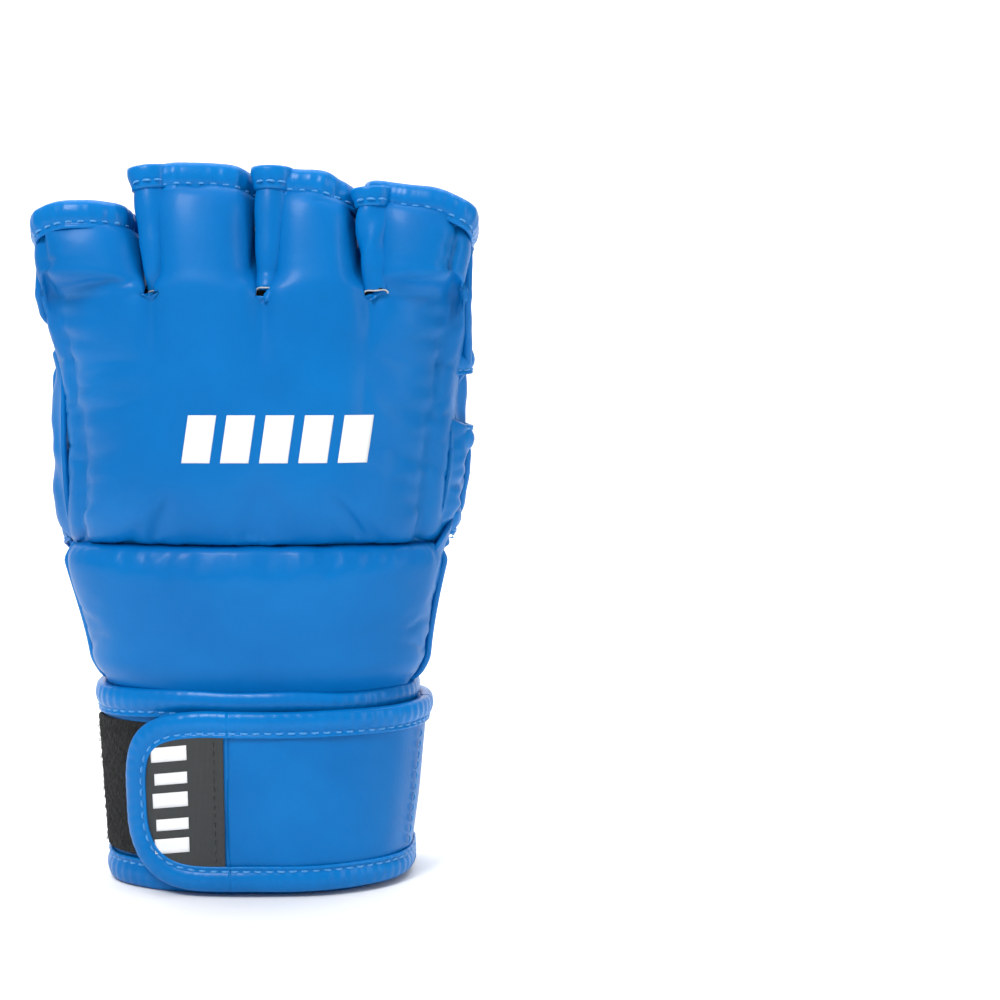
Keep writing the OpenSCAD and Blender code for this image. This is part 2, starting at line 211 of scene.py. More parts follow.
def sheet(grid: Array, thick: float, lift: Array | float = 0.0, wrap: bool = False) -> Solid:
    """Closed sheet under a grid of points.

    Args:
        grid: Points by row and column.
        thick: Thickness in millimetres.
        lift: How far each point moves outwards first.
        wrap: Whether the columns close round.

    Returns:
        The closed sheet.
    """
    normals = grid_normals(grid, wrap)
    outer = grid + normals * np.asarray(lift)[..., None]
    rows, cols = grid.shape[:2]
    return shell(outer.reshape(-1, 3), (outer - normals * thick).reshape(-1, 3), grid_faces(rows, cols, wrap))


def sweep(path: Array, along_x: Array, along_y: Array, section: Array, closed: bool) -> Solid:
    """Solid of a section carried along a path.

    Args:
        path: Points of the path.
        along_x: Direction of the section's first coordinate at each point.
        along_y: Direction of its second coordinate.
        section: Outline, one for the whole path or one for each point.
        closed: Whether the path closes on itself.

    Returns:
        The swept solid, capped when the path is open.
    """
    many = np.broadcast_to(section, (len(path),) + section.shape[-2:])
    rings = path[:, None] + along_x[:, None] * many[..., :1] + along_y[:, None] * many[..., 1:]
    n, m = rings.shape[:2]
    last = n if closed else n - 1
    faces = [(j * m + i, j * m + (i + 1) % m, ((j + 1) % n) * m + (i + 1) % m, ((j + 1) % n) * m + i)
             for j in range(last) for i in range(m)]
    if not closed:
        faces += [tuple(reversed(range(m))), tuple((n - 1) * m + i for i in range(m))]
    return Solid(rings.reshape(-1, 3), faces)


def oval(width: float, height: float, sides: int = 12) -> Array:
    """Oval section outline."""
    t = np.linspace(0, TURN, sides, endpoint=False)
    return np.stack([np.cos(t) * width / 2, np.sin(t) * height / 2], -1)


def tape_section(width: float, thick: float, wall: float) -> Array:
    """Outline of a folded binding tape that straddles the edge of a sheet.

    The first coordinate runs inwards from the edge and the second outwards from the sheet's face.

    Args:
        width: Width of the tape on each face.
        thick: Thickness of the tape.
        wall: Thickness of the sheet that it holds.

    Returns:
        The outline.
    """
    top = [(width, 0.0), (width - 0.1, thick * 0.8), (width - 0.6, thick), (width * 0.87, thick * 0.8),
           (width * 0.79, thick * 0.42), (width * 0.7, thick * 0.85), (width * 0.55, thick * 1.4),
           (width * 0.35, thick * 1.6), (width * 0.15, thick * 1.35), (-0.1, thick * 0.9),
           (-0.7, thick * 0.2)]
    low = [(-0.75, -wall / 2), (-0.45, -wall - thick * 0.55), (0.6, -wall - thick),
           (width * 0.9, -wall - thick), (width * 0.9, -wall), (0.5, -wall), (0.5, 0.0)]
    return np.array(top + low)


# ---------------------------------------------------------------- paths on a surface
@dataclass
class Trace:
    """A line drawn on a surface, with the directions beside it and out of it."""

    points: Array
    side: Array
    out: Array

    @staticmethod
    def on(surface: Surface, a: Array, b: Array, lift: Array | float = 0.0, closed: bool = False) -> "Trace":
        """Line through surface coordinates.

        Args:
            surface: The surface.
            a: First coordinates, angles in degrees.
            b: Second coordinates, heights in millimetres.
            lift: How far the line stands off the surface.
            closed: Whether the line closes on itself.

        Returns:
            The line, whose side points to its left seen from outside.
        """
        base = surface(a, b)
        da = surface(a + 0.15, b) - surface(a - 0.15, b)
        db = surface(a, b + 0.15) - surface(a, b - 0.15)
        out = unit(np.cross(da, db))
        points = base + out * np.asarray(lift)[..., None]
        if closed:
            along = np.roll(points, -1, axis=0) - np.roll(points, 1, axis=0)
        else:
            along = np.gradient(points, axis=0)
        return Trace(points, unit(np.cross(out, along)), out)

    def moved(self, side: float, out: float = 0.0) -> "Trace":
        """The same line, shifted sideways and outwards."""
        return Trace(self.points + self.side * side + self.out * out, self.side, self.out)

    def sunk(self, first: float, last: float, reach: float = 8.0) -> "Trace":
        """The same line with its ends sunk by the given depths, so that they go under a neighbour."""
        run = running(self.points)
        drop = first * (1 - smooth(run / reach)) + last * (1 - smooth((run[-1] - run) / reach))
        return Trace(self.points - self.out * drop[:, None], self.side, self.out)


def along_path(trace: Trace, step: float, closed: bool) -> tuple[Array, Array, Array]:
    """Evenly spaced places on a line.

    Args:
        trace: The line.
        step: Wanted spacing in millimetres.
        closed: Whether the line closes on itself.

    Returns:
        Points, forward directions and outward directions.
    """
    points, out = trace.points, trace.out
    if closed:
        points, out = np.vstack([points, points[:1]]), np.vstack([out, out[:1]])
    run = running(points)
    count = max(2, int(round(run[-1] / step)))
    at = (np.arange(count) + 0.5) * run[-1] / count
    read = lambda values, s: np.stack([np.interp(s, run, values[:, k]) for k in range(3)], -1)
    forward = unit(read(points, np.minimum(at + 0.4, run[-1])) - read(points, np.maximum(at - 0.4, 0.0)))
    return read(points, at), forward, unit(read(out, at))


class Stitch(Enum):
    """Kinds of sewing: thread length, pitch and thickness in millimetres."""

    EDGE = (3.0, 3.7, 0.74)
    PANEL = (2.7, 3.4, 0.66)
    FINE = (2.0, 2.8, 0.45)


def stitches(trace: Trace, kind: Stitch, closed: bool = False, seed: int = 1) -> Solid:
    """Row of separate threads that dip into the leather at both ends.

    Args:
        trace: The seam.
        kind: Kind of sewing.
        closed: Whether the seam closes on itself.
        seed: Seed of the small unevenness.

    Returns:
        All the threads.
    """
    length, pitch, thick = kind.value
    rng = random.Random(seed)
    points, forward, out = along_path(trace, pitch, closed)
    lengthwise = np.linspace(-0.5, 0.5, 6)
    girth = np.array([0.35, 0.9, 1.0, 1.0, 0.9, 0.35])
    height = np.array([-0.7, 0.15, 0.42, 0.42, 0.15, -0.7])
    parts = []
    for p, f, n in zip(points, forward, out):
        f = unit(f + np.cross(n, f) * rng.uniform(-0.09, 0.09))
        side = np.cross(n, f)
        size = thick * rng.uniform(0.92, 1.08)
        path = p + f * (lengthwise * length * rng.uniform(0.94, 1.05))[:, None] + n * (height * size)[:, None]
        rings = oval(size, size, 6) * girth[:, None, None]
        parts.append(sweep(path, np.tile(side, (6, 1)), np.tile(n, (6, 1)), rings, False))
    return Solid.join(parts)


# ---------------------------------------------------------------- finishes
Colour = tuple[float, float, float]
Feed = bpy.types.NodeSocket | float | tuple


def group_sockets(tree: bpy.types.NodeTree, ins: dict, outs: Sequence[str]) -> None:
    """Adds named number sockets to a node group, with default values for its inputs."""
    for name, value in ins.items():
        socket = tree.interface.new_socket(name, in_out="INPUT", socket_type="NodeSocketFloat")
        socket.default_value = value
    for name in outs:
        tree.interface.new_socket(name, in_out="OUTPUT", socket_type="NodeSocketFloat")


class Nodes:
    """Short way to place and join shader nodes in one tree."""

    def __init__(self, tree: bpy.types.NodeTree) -> None:
        """Works on the given tree."""
        self.tree = tree

    def add(self, kind: str, links: dict | None = None, **settings) -> bpy.types.Node:
        """Places a node.

        Args:
            kind: Blender's name of the node type.
            links: Input name or number to a socket or a value.
            **settings: Properties of the node.

        Returns:
            The node.
        """
        node = self.tree.nodes.new(kind)
        for key, value in settings.items():
            setattr(node, key, value)
        for key, value in (links or {}).items():
            self.feed(node.inputs[key], value)
        return node

    def feed(self, socket: bpy.types.NodeSocket, value: Feed) -> None:
        """Links a socket to another, or sets its value."""
        if isinstance(value, bpy.types.NodeSocket):
            self.tree.links.new(value, socket)
        else:
            socket.default_value = value

    def maths(self, operation: str, a: Feed, b: Feed = 0.0) -> bpy.types.NodeSocket:
        """Result of a maths node."""
        return self.add("ShaderNodeMath", {0: a, 1: b}, operation=operation).outputs[0]

    def wave(self, place: Feed, rate: Feed) -> bpy.types.NodeSocket:
        """Sine wave of a coordinate, with so many waves to the unit."""
        return self.maths("SINE", self.maths("MULTIPLY", place, self.maths("MULTIPLY", rate, 6.283)))

    def noise(self, place: Feed, scale: Feed, **inputs: float) -> bpy.types.NodeSocket:
        """Value of a noise texture."""
        return self.add("ShaderNodeTexNoise", {"Vector": place, "Scale": scale, **inputs}).outputs["Fac"]

    def ramp(self, value: Feed, low: float, high: float, to_low: float = 0.0,
             to_high: float = 1.0) -> bpy.types.NodeSocket:
        """A value's range turned into another range."""
        node = self.add("ShaderNodeMapRange", {"Value": value, "From Min": low, "From Max": high,
                                               "To Min": to_low, "To Max": to_high})
        return node.outputs["Result"]

    def blend(self, share: Feed, a: Feed, b: Feed) -> bpy.types.NodeSocket:
        """Mix of two colours."""
        node = self.add("ShaderNodeMix", data_type="RGBA")
        for index, value in ((0, share), (6, a), (7, b)):
            plain_colour = isinstance(value, tuple) and len(value) == 3
            self.feed(node.inputs[index], (*value, 1.0) if plain_colour else value)
        return node.outputs[2]


class Effects:
    """Node groups shared by the finishes, each built once."""

    def __init__(self) -> None:
        """Builds every group."""
        self.grain = self._leather_grain()
        self.wear = self._edge_wear()
        self.knit = self._rib_knit()
        self.fuzz = self._fuzz()

    @staticmethod
    def _new(name: str, ins: dict,
             outs: Sequence[str]) -> tuple[bpy.types.NodeTree, Nodes, bpy.types.Node, bpy.types.Node]:
        """Empty group with its sockets, and its input and output nodes."""
        tree = bpy.data.node_groups.new(name, "ShaderNodeTree")
        group_sockets(tree, ins, outs)
        nodes = Nodes(tree)
        return tree, nodes, nodes.add("NodeGroupInput"), nodes.add("NodeGroupOutput")

    def _leather_grain(self) -> bpy.types.NodeTree:
        """Pebbled grain with soft creases, as height and mottle."""
        tree, n, gin, gout = self._new(
            "LeatherGrain", {"Scale": 900.0, "Crease": 0.5}, ("Height", "Mottle"))
        place = n.add("ShaderNodeTexCoord").outputs["Object"]
        pebble = n.add("ShaderNodeTexVoronoi", {"Vector": place, "Scale": gin.outputs["Scale"]},
                       feature="SMOOTH_F1").outputs["Distance"]
        finer = n.maths("MULTIPLY", gin.outputs["Scale"], 2.3)
        fine = n.noise(place, finer, Detail=2.0)
        crease = n.noise(place, 150.0, Detail=5.0, Roughness=0.62, Distortion=0.6)
        ridge = n.maths("ABSOLUTE", n.maths("SUBTRACT", crease, 0.5))
        folds = n.maths("MULTIPLY", n.ramp(ridge, 0.0, 0.07, -1.0, 0.0), gin.outputs["Crease"])
        pores = n.maths("MULTIPLY", n.ramp(pebble, 0.0, 0.65), -0.55)
        height = n.maths("ADD", n.maths("ADD", pores, n.maths("MULTIPLY", fine, 0.3)), folds)
        cloud = n.noise(place, 34.0, Detail=3.0)
        n.feed(gout.inputs["Height"], height)
        n.feed(gout.inputs["Mottle"], n.ramp(cloud, 0.3, 0.7))
        return tree

    def _edge_wear(self) -> bpy.types.NodeTree:
        """Mask that grows on exposed edges and folds."""
        tree, n, gin, gout = self._new("EdgeWear", {"Amount": 0.5}, ("Mask",))
        point = n.add("ShaderNodeNewGeometry").outputs["Pointiness"]
        place = n.add("ShaderNodeTexCoord").outputs["Object"]
        patchy = n.noise(place, 120.0, Detail=4.0)
        edge = n.ramp(point, 0.52, 0.62)
        worn = n.maths("MULTIPLY", edge, n.ramp(patchy, 0.35, 0.7))
        n.feed(gout.inputs["Mask"], n.maths("MULTIPLY", worn, gin.outputs["Amount"]))
        return tree

    def _rib_knit(self) -> bpy.types.NodeTree:
        """Fine knit with upright ribs, as height and colour share."""
        tree, n, gin, gout = self._new("RibKnit", {"Rib": 620.0, "Course": 900.0}, ("Height", "Share"))
        place = n.add("ShaderNodeTexCoord").outputs["Object"]
        parts = n.add("ShaderNodeSeparateXYZ", {0: place})
        rib = n.wave(parts.outputs["X"], gin.outputs["Rib"])
        loop = n.wave(parts.outputs["Z"], gin.outputs["Course"])
        lint = n.noise(place, 2600.0, Detail=3.0)
        height = n.maths("ADD", n.maths("MULTIPLY", rib, 0.5), n.maths("MULTIPLY", loop, 0.22))
        n.feed(gout.inputs["Height"], n.maths("ADD", height, n.maths("MULTIPLY", lint, 0.35)))
        n.feed(gout.inputs["Share"], n.ramp(n.maths("ADD", rib, lint), -0.6, 1.4))
        return tree

    def _fuzz(self) -> bpy.types.NodeTree:
        """Matted fibre pile, as height and colour share."""
        tree, n, gin, gout = self._new("Fuzz", {"Scale": 1500.0}, ("Height", "Share"))
        place = n.add("ShaderNodeTexCoord").outputs["Object"]
        pile = n.noise(place, gin.outputs["Scale"], Detail=6.0, Roughness=0.75, Distortion=1.2)
        coarser = n.maths("MULTIPLY", gin.outputs["Scale"], 0.5)
        tuft = n.add("ShaderNodeTexVoronoi", {"Vector": place, "Scale": coarser}).outputs["Distance"]
        n.feed(gout.inputs["Height"], n.maths("ADD", pile, n.maths("MULTIPLY", tuft, 0.5)))
        n.feed(gout.inputs["Share"], n.ramp(pile, 0.42, 0.72))
        return tree


def new_material(name: str) -> tuple[bpy.types.Material, Nodes, bpy.types.Node]:
    """Empty material, its nodes and its shader."""
    material = bpy.data.materials.new(name)
    material.use_nodes = True
    return material, Nodes(material.node_tree), material.node_tree.nodes["Principled BSDF"]


@dataclass(frozen=True)
class Leather:
    """Coated synthetic leather."""

    name: str
    base: Colour
    deep: Colour
    rough: float = 0.42
    coat: float = 0.07
    grain: float = 900.0
    grain_depth: float = 0.05
    crease: float = 0.5
    wear: float = 0.35
    shine: float = 0.11

    def make(self, effects: Effects) -> bpy.types.Material:
        """The finish as a material.

        Args:
            effects: Shared node groups.

        Returns:
            The material.
        """
        material, n, shader = new_material(self.name)
        grain = n.add("ShaderNodeGroup", node_tree=effects.grain)
        grain.inputs["Scale"].default_value = self.grain
        grain.inputs["Crease"].default_value = self.crease
        wear = n.add("ShaderNodeGroup", node_tree=effects.wear)
        wear.inputs["Amount"].default_value = self.wear
        tone = n.blend(grain.outputs["Mottle"], self.deep, self.base)
        pale = tuple(min(1.0, c * 1.25 + 0.001) for c in self.base)
        n.feed(shader.inputs["Base Color"], n.blend(wear.outputs["Mask"], tone, pale))
        rough = n.ramp(grain.outputs["Mottle"], 0.0, 1.0, self.rough + 0.05, self.rough - 0.03)
        n.feed(shader.inputs["Roughness"], rough)
        shader.inputs["Coat Weight"].default_value = self.coat
        shader.inputs["Coat Roughness"].default_value = 0.2
        shader.inputs["Specular IOR Level"].default_value = self.shine
        bump = n.add("ShaderNodeBump", {"Height": grain.outputs["Height"], "Strength": 0.55,
                                        "Distance": self.grain_depth * MM})
        n.feed(shader.inputs["Normal"], bump.outputs["Normal"])
        return material


@dataclass(frozen=True)
class Cloth:
    """Knitted, woven or piled textile."""

    name: str
    base: Colour
    light: Colour
    pile: bool = False
    rib: float = 620.0
    course: float = 900.0
    rough: float = 0.85
    depth: float = 0.25
    sheen: float = 0.15

    def make(self, effects: Effects) -> bpy.types.Material:
        """The finish as a material.

        Args:
            effects: Shared node groups.

        Returns:
            The material.
        """
        material, n, shader = new_material(self.name)
        group = n.add("ShaderNodeGroup", node_tree=effects.fuzz if self.pile else effects.knit)
        if not self.pile:
            group.inputs["Rib"].default_value = self.rib
            group.inputs["Course"].default_value = self.course
        n.feed(shader.inputs["Base Color"], n.blend(group.outputs["Share"], self.base, self.light))
        shader.inputs["Roughness"].default_value = self.rough
        shader.inputs["Sheen Weight"].default_value = self.sheen
        bump = n.add("ShaderNodeBump", {"Height": group.outputs["Height"], "Strength": 0.9,
                                        "Distance": self.depth * MM})
        n.feed(shader.inputs["Normal"], bump.outputs["Normal"])
        return material


class Kit:
    """Finishes of the glove by short name."""

    def __init__(self) -> None:
        """Makes every material."""
        effects = Effects()
        blue, deep = (0.0, 0.148, 0.455), (0.0, 0.125, 0.4)
        recipes = {
            "cover": Leather("CoverLeather", blue, deep, crease=0.35),
            "panel": Leather("PanelLeather", (0.0, 0.155, 0.475), deep, rough=0.36, crease=0.6),
            "binding": Leather("BindingTape", (0.0, 0.17, 0.51), (0.0, 0.14, 0.44), rough=0.31, coat=0.14,
                               crease=0.8),
            "thread": Cloth("BlueThread", (0.01, 0.2, 0.56), (0.1, 0.42, 0.85), rib=2600.0, course=1900.0,
                            rough=0.5, depth=0.1),
            "lining": Cloth("RibLining", (0.005, 0.0065, 0.0075), (0.022, 0.026, 0.028), sheen=0.04),
            "loop": Cloth("LoopPile", (0.002, 0.0025, 0.003), (0.014, 0.016, 0.017), pile=True, rough=0.95,
                          depth=0.6, sheen=0.05),
            "label": Cloth("SatinLabel", (0.01, 0.012, 0.013), (0.026, 0.031, 0.033), rib=2600.0,
                           course=2600.0, rough=0.4, depth=0.05, sheen=0.1),
            "print": Leather("WhitePrint", (0.82, 0.83, 0.84), (0.76, 0.77, 0.79), rough=0.45,
                             grain_depth=0.02, crease=0.2),
            "raw": Cloth("RawEdge", (0.42, 0.44, 0.46), (0.68, 0.7, 0.7), pile=True, depth=0.3),
            # Near-black finish of the strips' open mouths and the vent holes: painted shade standing in for
            # the shade inside them.
            "painted_shade": Cloth("PaintedShadeHollow", (0.004, 0.004, 0.005), (0.01, 0.01, 0.011)),
        }
        self.made = {key: recipe.make(effects) for key, recipe in recipes.items()}

    SLOTS = {"cover": "cover_leather", "panel": "panel_leather", "binding": "binding", "thread": "binding",
             "lining": "lining", "loop": "loop_tape", "label": "label", "print": "label", "raw": "lining",
             "painted_shade": "lining"}


class Bench:
    """Turns solids into dressed pieces on the frame's bodies."""

    def __init__(self, kit: Kit) -> None:
        """Uses the given finishes."""
        self.kit = kit

    def piece(self, name: str, solid: Solid, finish: str, body: str = "glove",
              replaces: Sequence[str] = ()) -> bpy.types.Object:
        """Makes one piece.

        Args:
            name: Name of the piece.
            solid: Its form in millimetres.
            finish: Short name of its finish.
            body: Body it rides on; empty to leave it on none.
            replaces: Frame nodes that it stands for.

        Returns:
            The object.
        """
        mesh = bpy.data.meshes.new(name)
        mesh.from_pydata((solid.verts * MM).tolist(), [], solid.faces)
        form = bmesh.new()
        form.from_mesh(mesh)
        bmesh.ops.recalc_face_normals(form, faces=form.faces)
        for face in form.faces:
            face.smooth = True
        form.to_mesh(mesh)
        form.free()
        mesh.materials.append(self.kit.made[finish])
        obj = bpy.data.objects.new(name, mesh)
        bpy.context.scene.collection.objects.link(obj)
        if body:
            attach(obj, body)
        if replaces:
            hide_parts(*replaces)
        LOG.info("%s: %d vertices", name, len(solid.verts))
        return obj


# ---------------------------------------------------------------- the glove's form
def node_box(name: str) -> tuple[Array, Array]:
    """Lowest and highest corner of a frame node in millimetres."""
    low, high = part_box(name)
    return np.array(low) / MM, np.array(high) / MM


def stack(x: Array, y: Array, z: Array) -> Array:
    """Points from their coordinates."""
    return np.stack(np.broadcast_arrays(x, y, z), -1)


@dataclass(frozen=True)
class GloveForm:
    """Outer surfaces of the hand, the finger columns and the cuff.

    An angle of 0 is the little-finger side, 90 the palm, 180 the thumb side and 270 the back. A depth
    is measured under the surface, so a negative one is proud of it.
    """

    cuff_h: float
    root_h: float
    crease_h: float
    back: float
    half_w: float
    cuff_back: float
    cuff_palm: float
    root_edges: tuple
    rim_edges: tuple
    rim_tops: tuple
    cuff_half: float = 54.5
    taper: float = 4.0
    strap_room: float = 6.05
    rim_drop: float = 10.0
    root_d: float = 39.0
    rim_d: float = 36.0
    hand_round: float = 2.4

    @staticmethod
    def from_frame() -> "GloveForm":
        """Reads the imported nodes' boxes."""
        knuckle, cuff = node_box("knuckle_cover"), node_box("cuff_band")
        rims = [node_box(f"{name}_rim_binding") for name in FINGERS]
        wide = knuckle[1][0] - knuckle[0][0] + 1.0
        edges = [(rims[k][1][0] + rims[k + 1][0][0]) / 2 - (5.0, 0.0, 5.5)[k] for k in range(3)]
        return GloveForm(
            cuff_h=node_box("cuff_top_binding")[1][2], root_h=knuckle[1][2],
            crease_h=knuckle[0][2], back=-knuckle[0][1], half_w=-knuckle[0][0],
            cuff_back=cuff[0][1], cuff_palm=cuff[1][1],
            root_edges=tuple(knuckle[0][0] - 1.0 + wide * share for share in COLUMN_SHARES),
            rim_edges=(rims[0][0][0] - 2.8, *edges, rims[3][1][0] + 2.2),
            rim_tops=tuple(rim[1][2] for rim in rims))

    @property
    def hand_l(self) -> float:
        """Height from the cuff to the finger roots."""
        return self.root_h - self.cuff_h

    @property
    def cuff_y(self) -> float:
        """Middle of the cuff from back to palm."""
        return (self.cuff_back + self.cuff_palm) / 2

    def height(self, share: Array | float) -> Array:
        """Height at a share of the hand's height."""
        return self.cuff_h + self.hand_l * np.asarray(share)

    def reaches(self, z: Array) -> tuple:
        """Thumb, little-side, back and palm reach and middle of the hand at a height."""
        share = np.clip((z - self.cuff_h) / self.hand_l, 0.0, 1.0)
        thumb = mix(self.cuff_half + 1, self.half_w, smooth(share / 0.5))
        little = mix(self.cuff_half - 2, self.half_w - 0.5, smooth(share / 0.7))
        back = -mix(2 - self.cuff_back, self.back, smooth(share / 0.55))
        palm = mix(self.cuff_palm, 12.5, share**1.3)
        return thumb, little, back, palm, mix(self.cuff_y, -6.0, share)

    def section(self, u: Array, z: Array, reaches: tuple, t: Array | float) -> Array:
        """Point of a rounded section from its reaches."""
        thumb, little, back, palm, middle = reaches
        c, s = np.cos(np.radians(u)), np.sin(np.radians(u))
        side = np.where(c >= 0, little, thumb) - t
        depth = np.where(s >= 0, palm - middle, middle - back) - t
        e = 2 / self.hand_round
        return stack(side * power(c, e), middle + depth * power(s, e), z)

    def hand(self, u: Array, z: Array, t: Array | float = 0.0) -> Array:
        """Point of the hand, which necks in where it goes into the cuff."""
        z = np.asarray(z, float)
        neck = 5.5 * (1 - smooth((z - self.cuff_h + 5) / 14))
        return self.section(u, z, self.reaches(z), t + neck)

    def cuff(self, u: Array, z: Array, t: Array | float = 0.0) -> Array:
        """Point of the cuff."""
        z = np.asarray(z, float)
        thumb = self.cuff_half - self.taper * (1 - z / self.cuff_h)
        little = thumb - self.strap_room - 3.2 * (1 - z / self.cuff_h)
        return self.section(u, z, (thumb, little, self.cuff_back, self.cuff_palm, self.cuff_y), t)

    def edge(self, k: int, z: Array) -> Array:
        """Boundary between finger columns at a height, below the roots as shares of the hand's width."""
        z = np.asarray(z, float)
        thumb, little = self.reaches(z)[:2]
        column = (z - self.root_h) / (self.rim_tops[1] - self.root_h)
        rise = mix(self.root_edges[k], self.rim_edges[k], np.maximum(column, 0.0))
        return mix(mix(-thumb, little, COLUMN_SHARES[k]), rise, smooth((z - self.root_h + 12) / 14))

    def hand_y(self, x: Array, z: Array, palm: bool) -> Array:
        """Depth of the hand surface below a place across it, on the palm or the back."""
        thumb, little, back, front, middle = self.reaches(z)
        across = np.clip(np.abs(x) / np.where(x < 0, thumb, little), 0, 1) ** (self.hand_round / 2)
        bow = np.sqrt(1 - across**2) ** (2 / self.hand_round)
        return middle + (front - middle if palm else back - middle) * bow

    def tube(self, k: int, u: Array, z: Array, t: Array | float = 0.0) -> Array:
        """Point of finger column k, which runs smoothly into the hand below its root."""
        z = np.asarray(z, float)
        c, s = np.cos(np.radians(u)), np.sin(np.radians(u))
        column = np.clip((z - self.root_h) / (self.rim_tops[1] - self.root_h), -0.5, 1.2)
        low, high = self.edge(k, z), self.edge(k + 1, z)
        gap = 0.8 * smooth((z - self.root_h) / 4)
        e = np.where(s < 0, 2 / 2.9, 2 / 2.3)
        x = (low + high) / 2 + ((high - low) / 2 - gap - t) * power(c, e)
        middle = mix(self.root_d / 2 - self.back, self.rim_d / 2 - self.back + 9, column)
        half = mix(self.root_d, self.rim_d, column) / 2 - t
        y = middle + half * power(s, e)
        outer = ((k == 0) & (c < 0)) | ((k == 3) & (c > 0))
        deep = curve(((0, 0.0), (3, 0.25), (6, 0.8), (12, 1.0)), z - self.root_h)
        back_share = mix(deep, smooth((z - 162) / 32), np.where(outer, np.abs(c) ** 3, 0.0))
        palm_share = smooth((z - np.where(outer & (k == 0), 178, 172)) / 22)
        palm_share = mix(palm_share, smooth((z - 162) / 32), np.where(outer, np.abs(c) ** 6, 0.0))
        y_back = self.hand_y(x, z, False) + t * power(np.abs(s), e)
        y_palm = self.hand_y(x, z, True) - t
        return stack(x, np.where(s < 0, mix(y_back, y, back_share), mix(y_palm, y, palm_share)), z)

    def rim(self, k: int, u: Array) -> Array:
        """Height of finger k's rim, lower towards the palm and a little wavy."""
        a = np.radians(u)
        front = smooth(np.sin(a) + 0.3)
        sway = (1.3 * np.sin(3 * a + 1.1 * k) + 0.8 * np.sin(7 * a + 2.3 * k)) * front
        lean = (1.6, 0.2, -1.8, -4.6)[k] * np.cos(a)
        return self.rim_tops[k] - 0.6 - self.rim_drop * (1 + np.sin(a)) / 2 + sway + lean


def drawn(surface: Surface, corners: Sequence[tuple[float, float]], lift: float = 0.0,
          step: float = 1.1) -> Trace:
    """Smooth line on a surface through a few points.

    Args:
        surface: The surface.
        corners: Angle and height of the points.
        lift: Height of the line over the surface.
        step: Spacing of the line's own points in millimetres.

    Returns:
        The line.
    """
    a, b = np.array(corners, float).T
    run = np.concatenate([[0.0], np.cumsum(np.hypot(np.diff(a) * 1.2, np.diff(b)))])
    t = np.linspace(0, run[-1], max(6, int(run[-1] / step)))
    return Trace.on(surface, curve(list(zip(run, a)), t), curve(list(zip(run, b)), t), lift)


def around(surface: Surface, height: Callable[[Array], Array], count: int,
           lift: Array | float = 0.0) -> Trace:
    """Closed line round a surface, at a height given for each angle."""
    u = np.linspace(0, 360, count, endpoint=False)
    return Trace.on(surface, u, height(u), lift, closed=True)


@dataclass(frozen=True)
class Tape:
    """Folded binding tape sewn over an edge."""

    width: float = 7.0
    thick: float = 0.95
    wall: float = 2.2
    inset: float = 0.79
    kind: Stitch = Stitch.EDGE
    eased: bool = True

    def lay(self, trace: Trace, inward: int, closed: bool = False, seed: int = 1) -> tuple[Solid, Solid]:
        """Lays the tape along an edge.

        Args:
            trace: The edge.
            inward: 1 when the panel lies to the left of the edge, -1 to the right.
            closed: Whether the edge closes on itself.
            seed: Seed of its small folds.

        Returns:
            The tape and its stitches.
        """
        run = running(trace.points)
        if closed:
            pitch = run[-1] / max(1, round(run[-1] / self.kind.value[1]))
            ease = 1.0
        else:
            pitch = self.kind.value[1]
            ease = 0.55 + 0.45 * smooth(np.minimum(run, run[-1] - run) / 3.0) if self.eased else 1.0
        swell = 1.0 + 0.1 * np.sin(TURN * run / pitch) + 0.12 * ripple(run, run * 0, seed, 17.0)
        flat = tape_section(self.width, self.thick, self.wall)
        many = np.repeat(flat[None], len(run), 0)
        raised = np.where(flat[:, 1] > 0.05, 1.0, 0.0)
        many[..., 1] *= 1 + raised * ((swell * ease)[:, None] - 1)
        many[..., 0] += (0.3 * ripple(run, run * 0, seed + 5, 23.0))[:, None]
        tape = sweep(trace.points, trace.side * inward, trace.out, many, closed)
        row = trace.moved(inward * self.width * self.inset, self.thick * 0.42)
        return tape, stitches(row, self.kind, closed, seed)


def pucker(distance: Array, along: Array, seed: int, depth: float = 0.45, reach: float = 5.0,
           pitch: float = 6.0) -> Array:
    """Little gathers that run away from a seam."""
    return depth * np.exp(-np.clip(distance, 0, None) / reach) * ripple(along, along * 0, seed, pitch)


FINGERS = ("index", "middle", "ring", "little")
# shares of the hand's width where one finger column ends and the next begins
COLUMN_SHARES = (0.0, 0.28, 0.535, 0.783, 1.0)


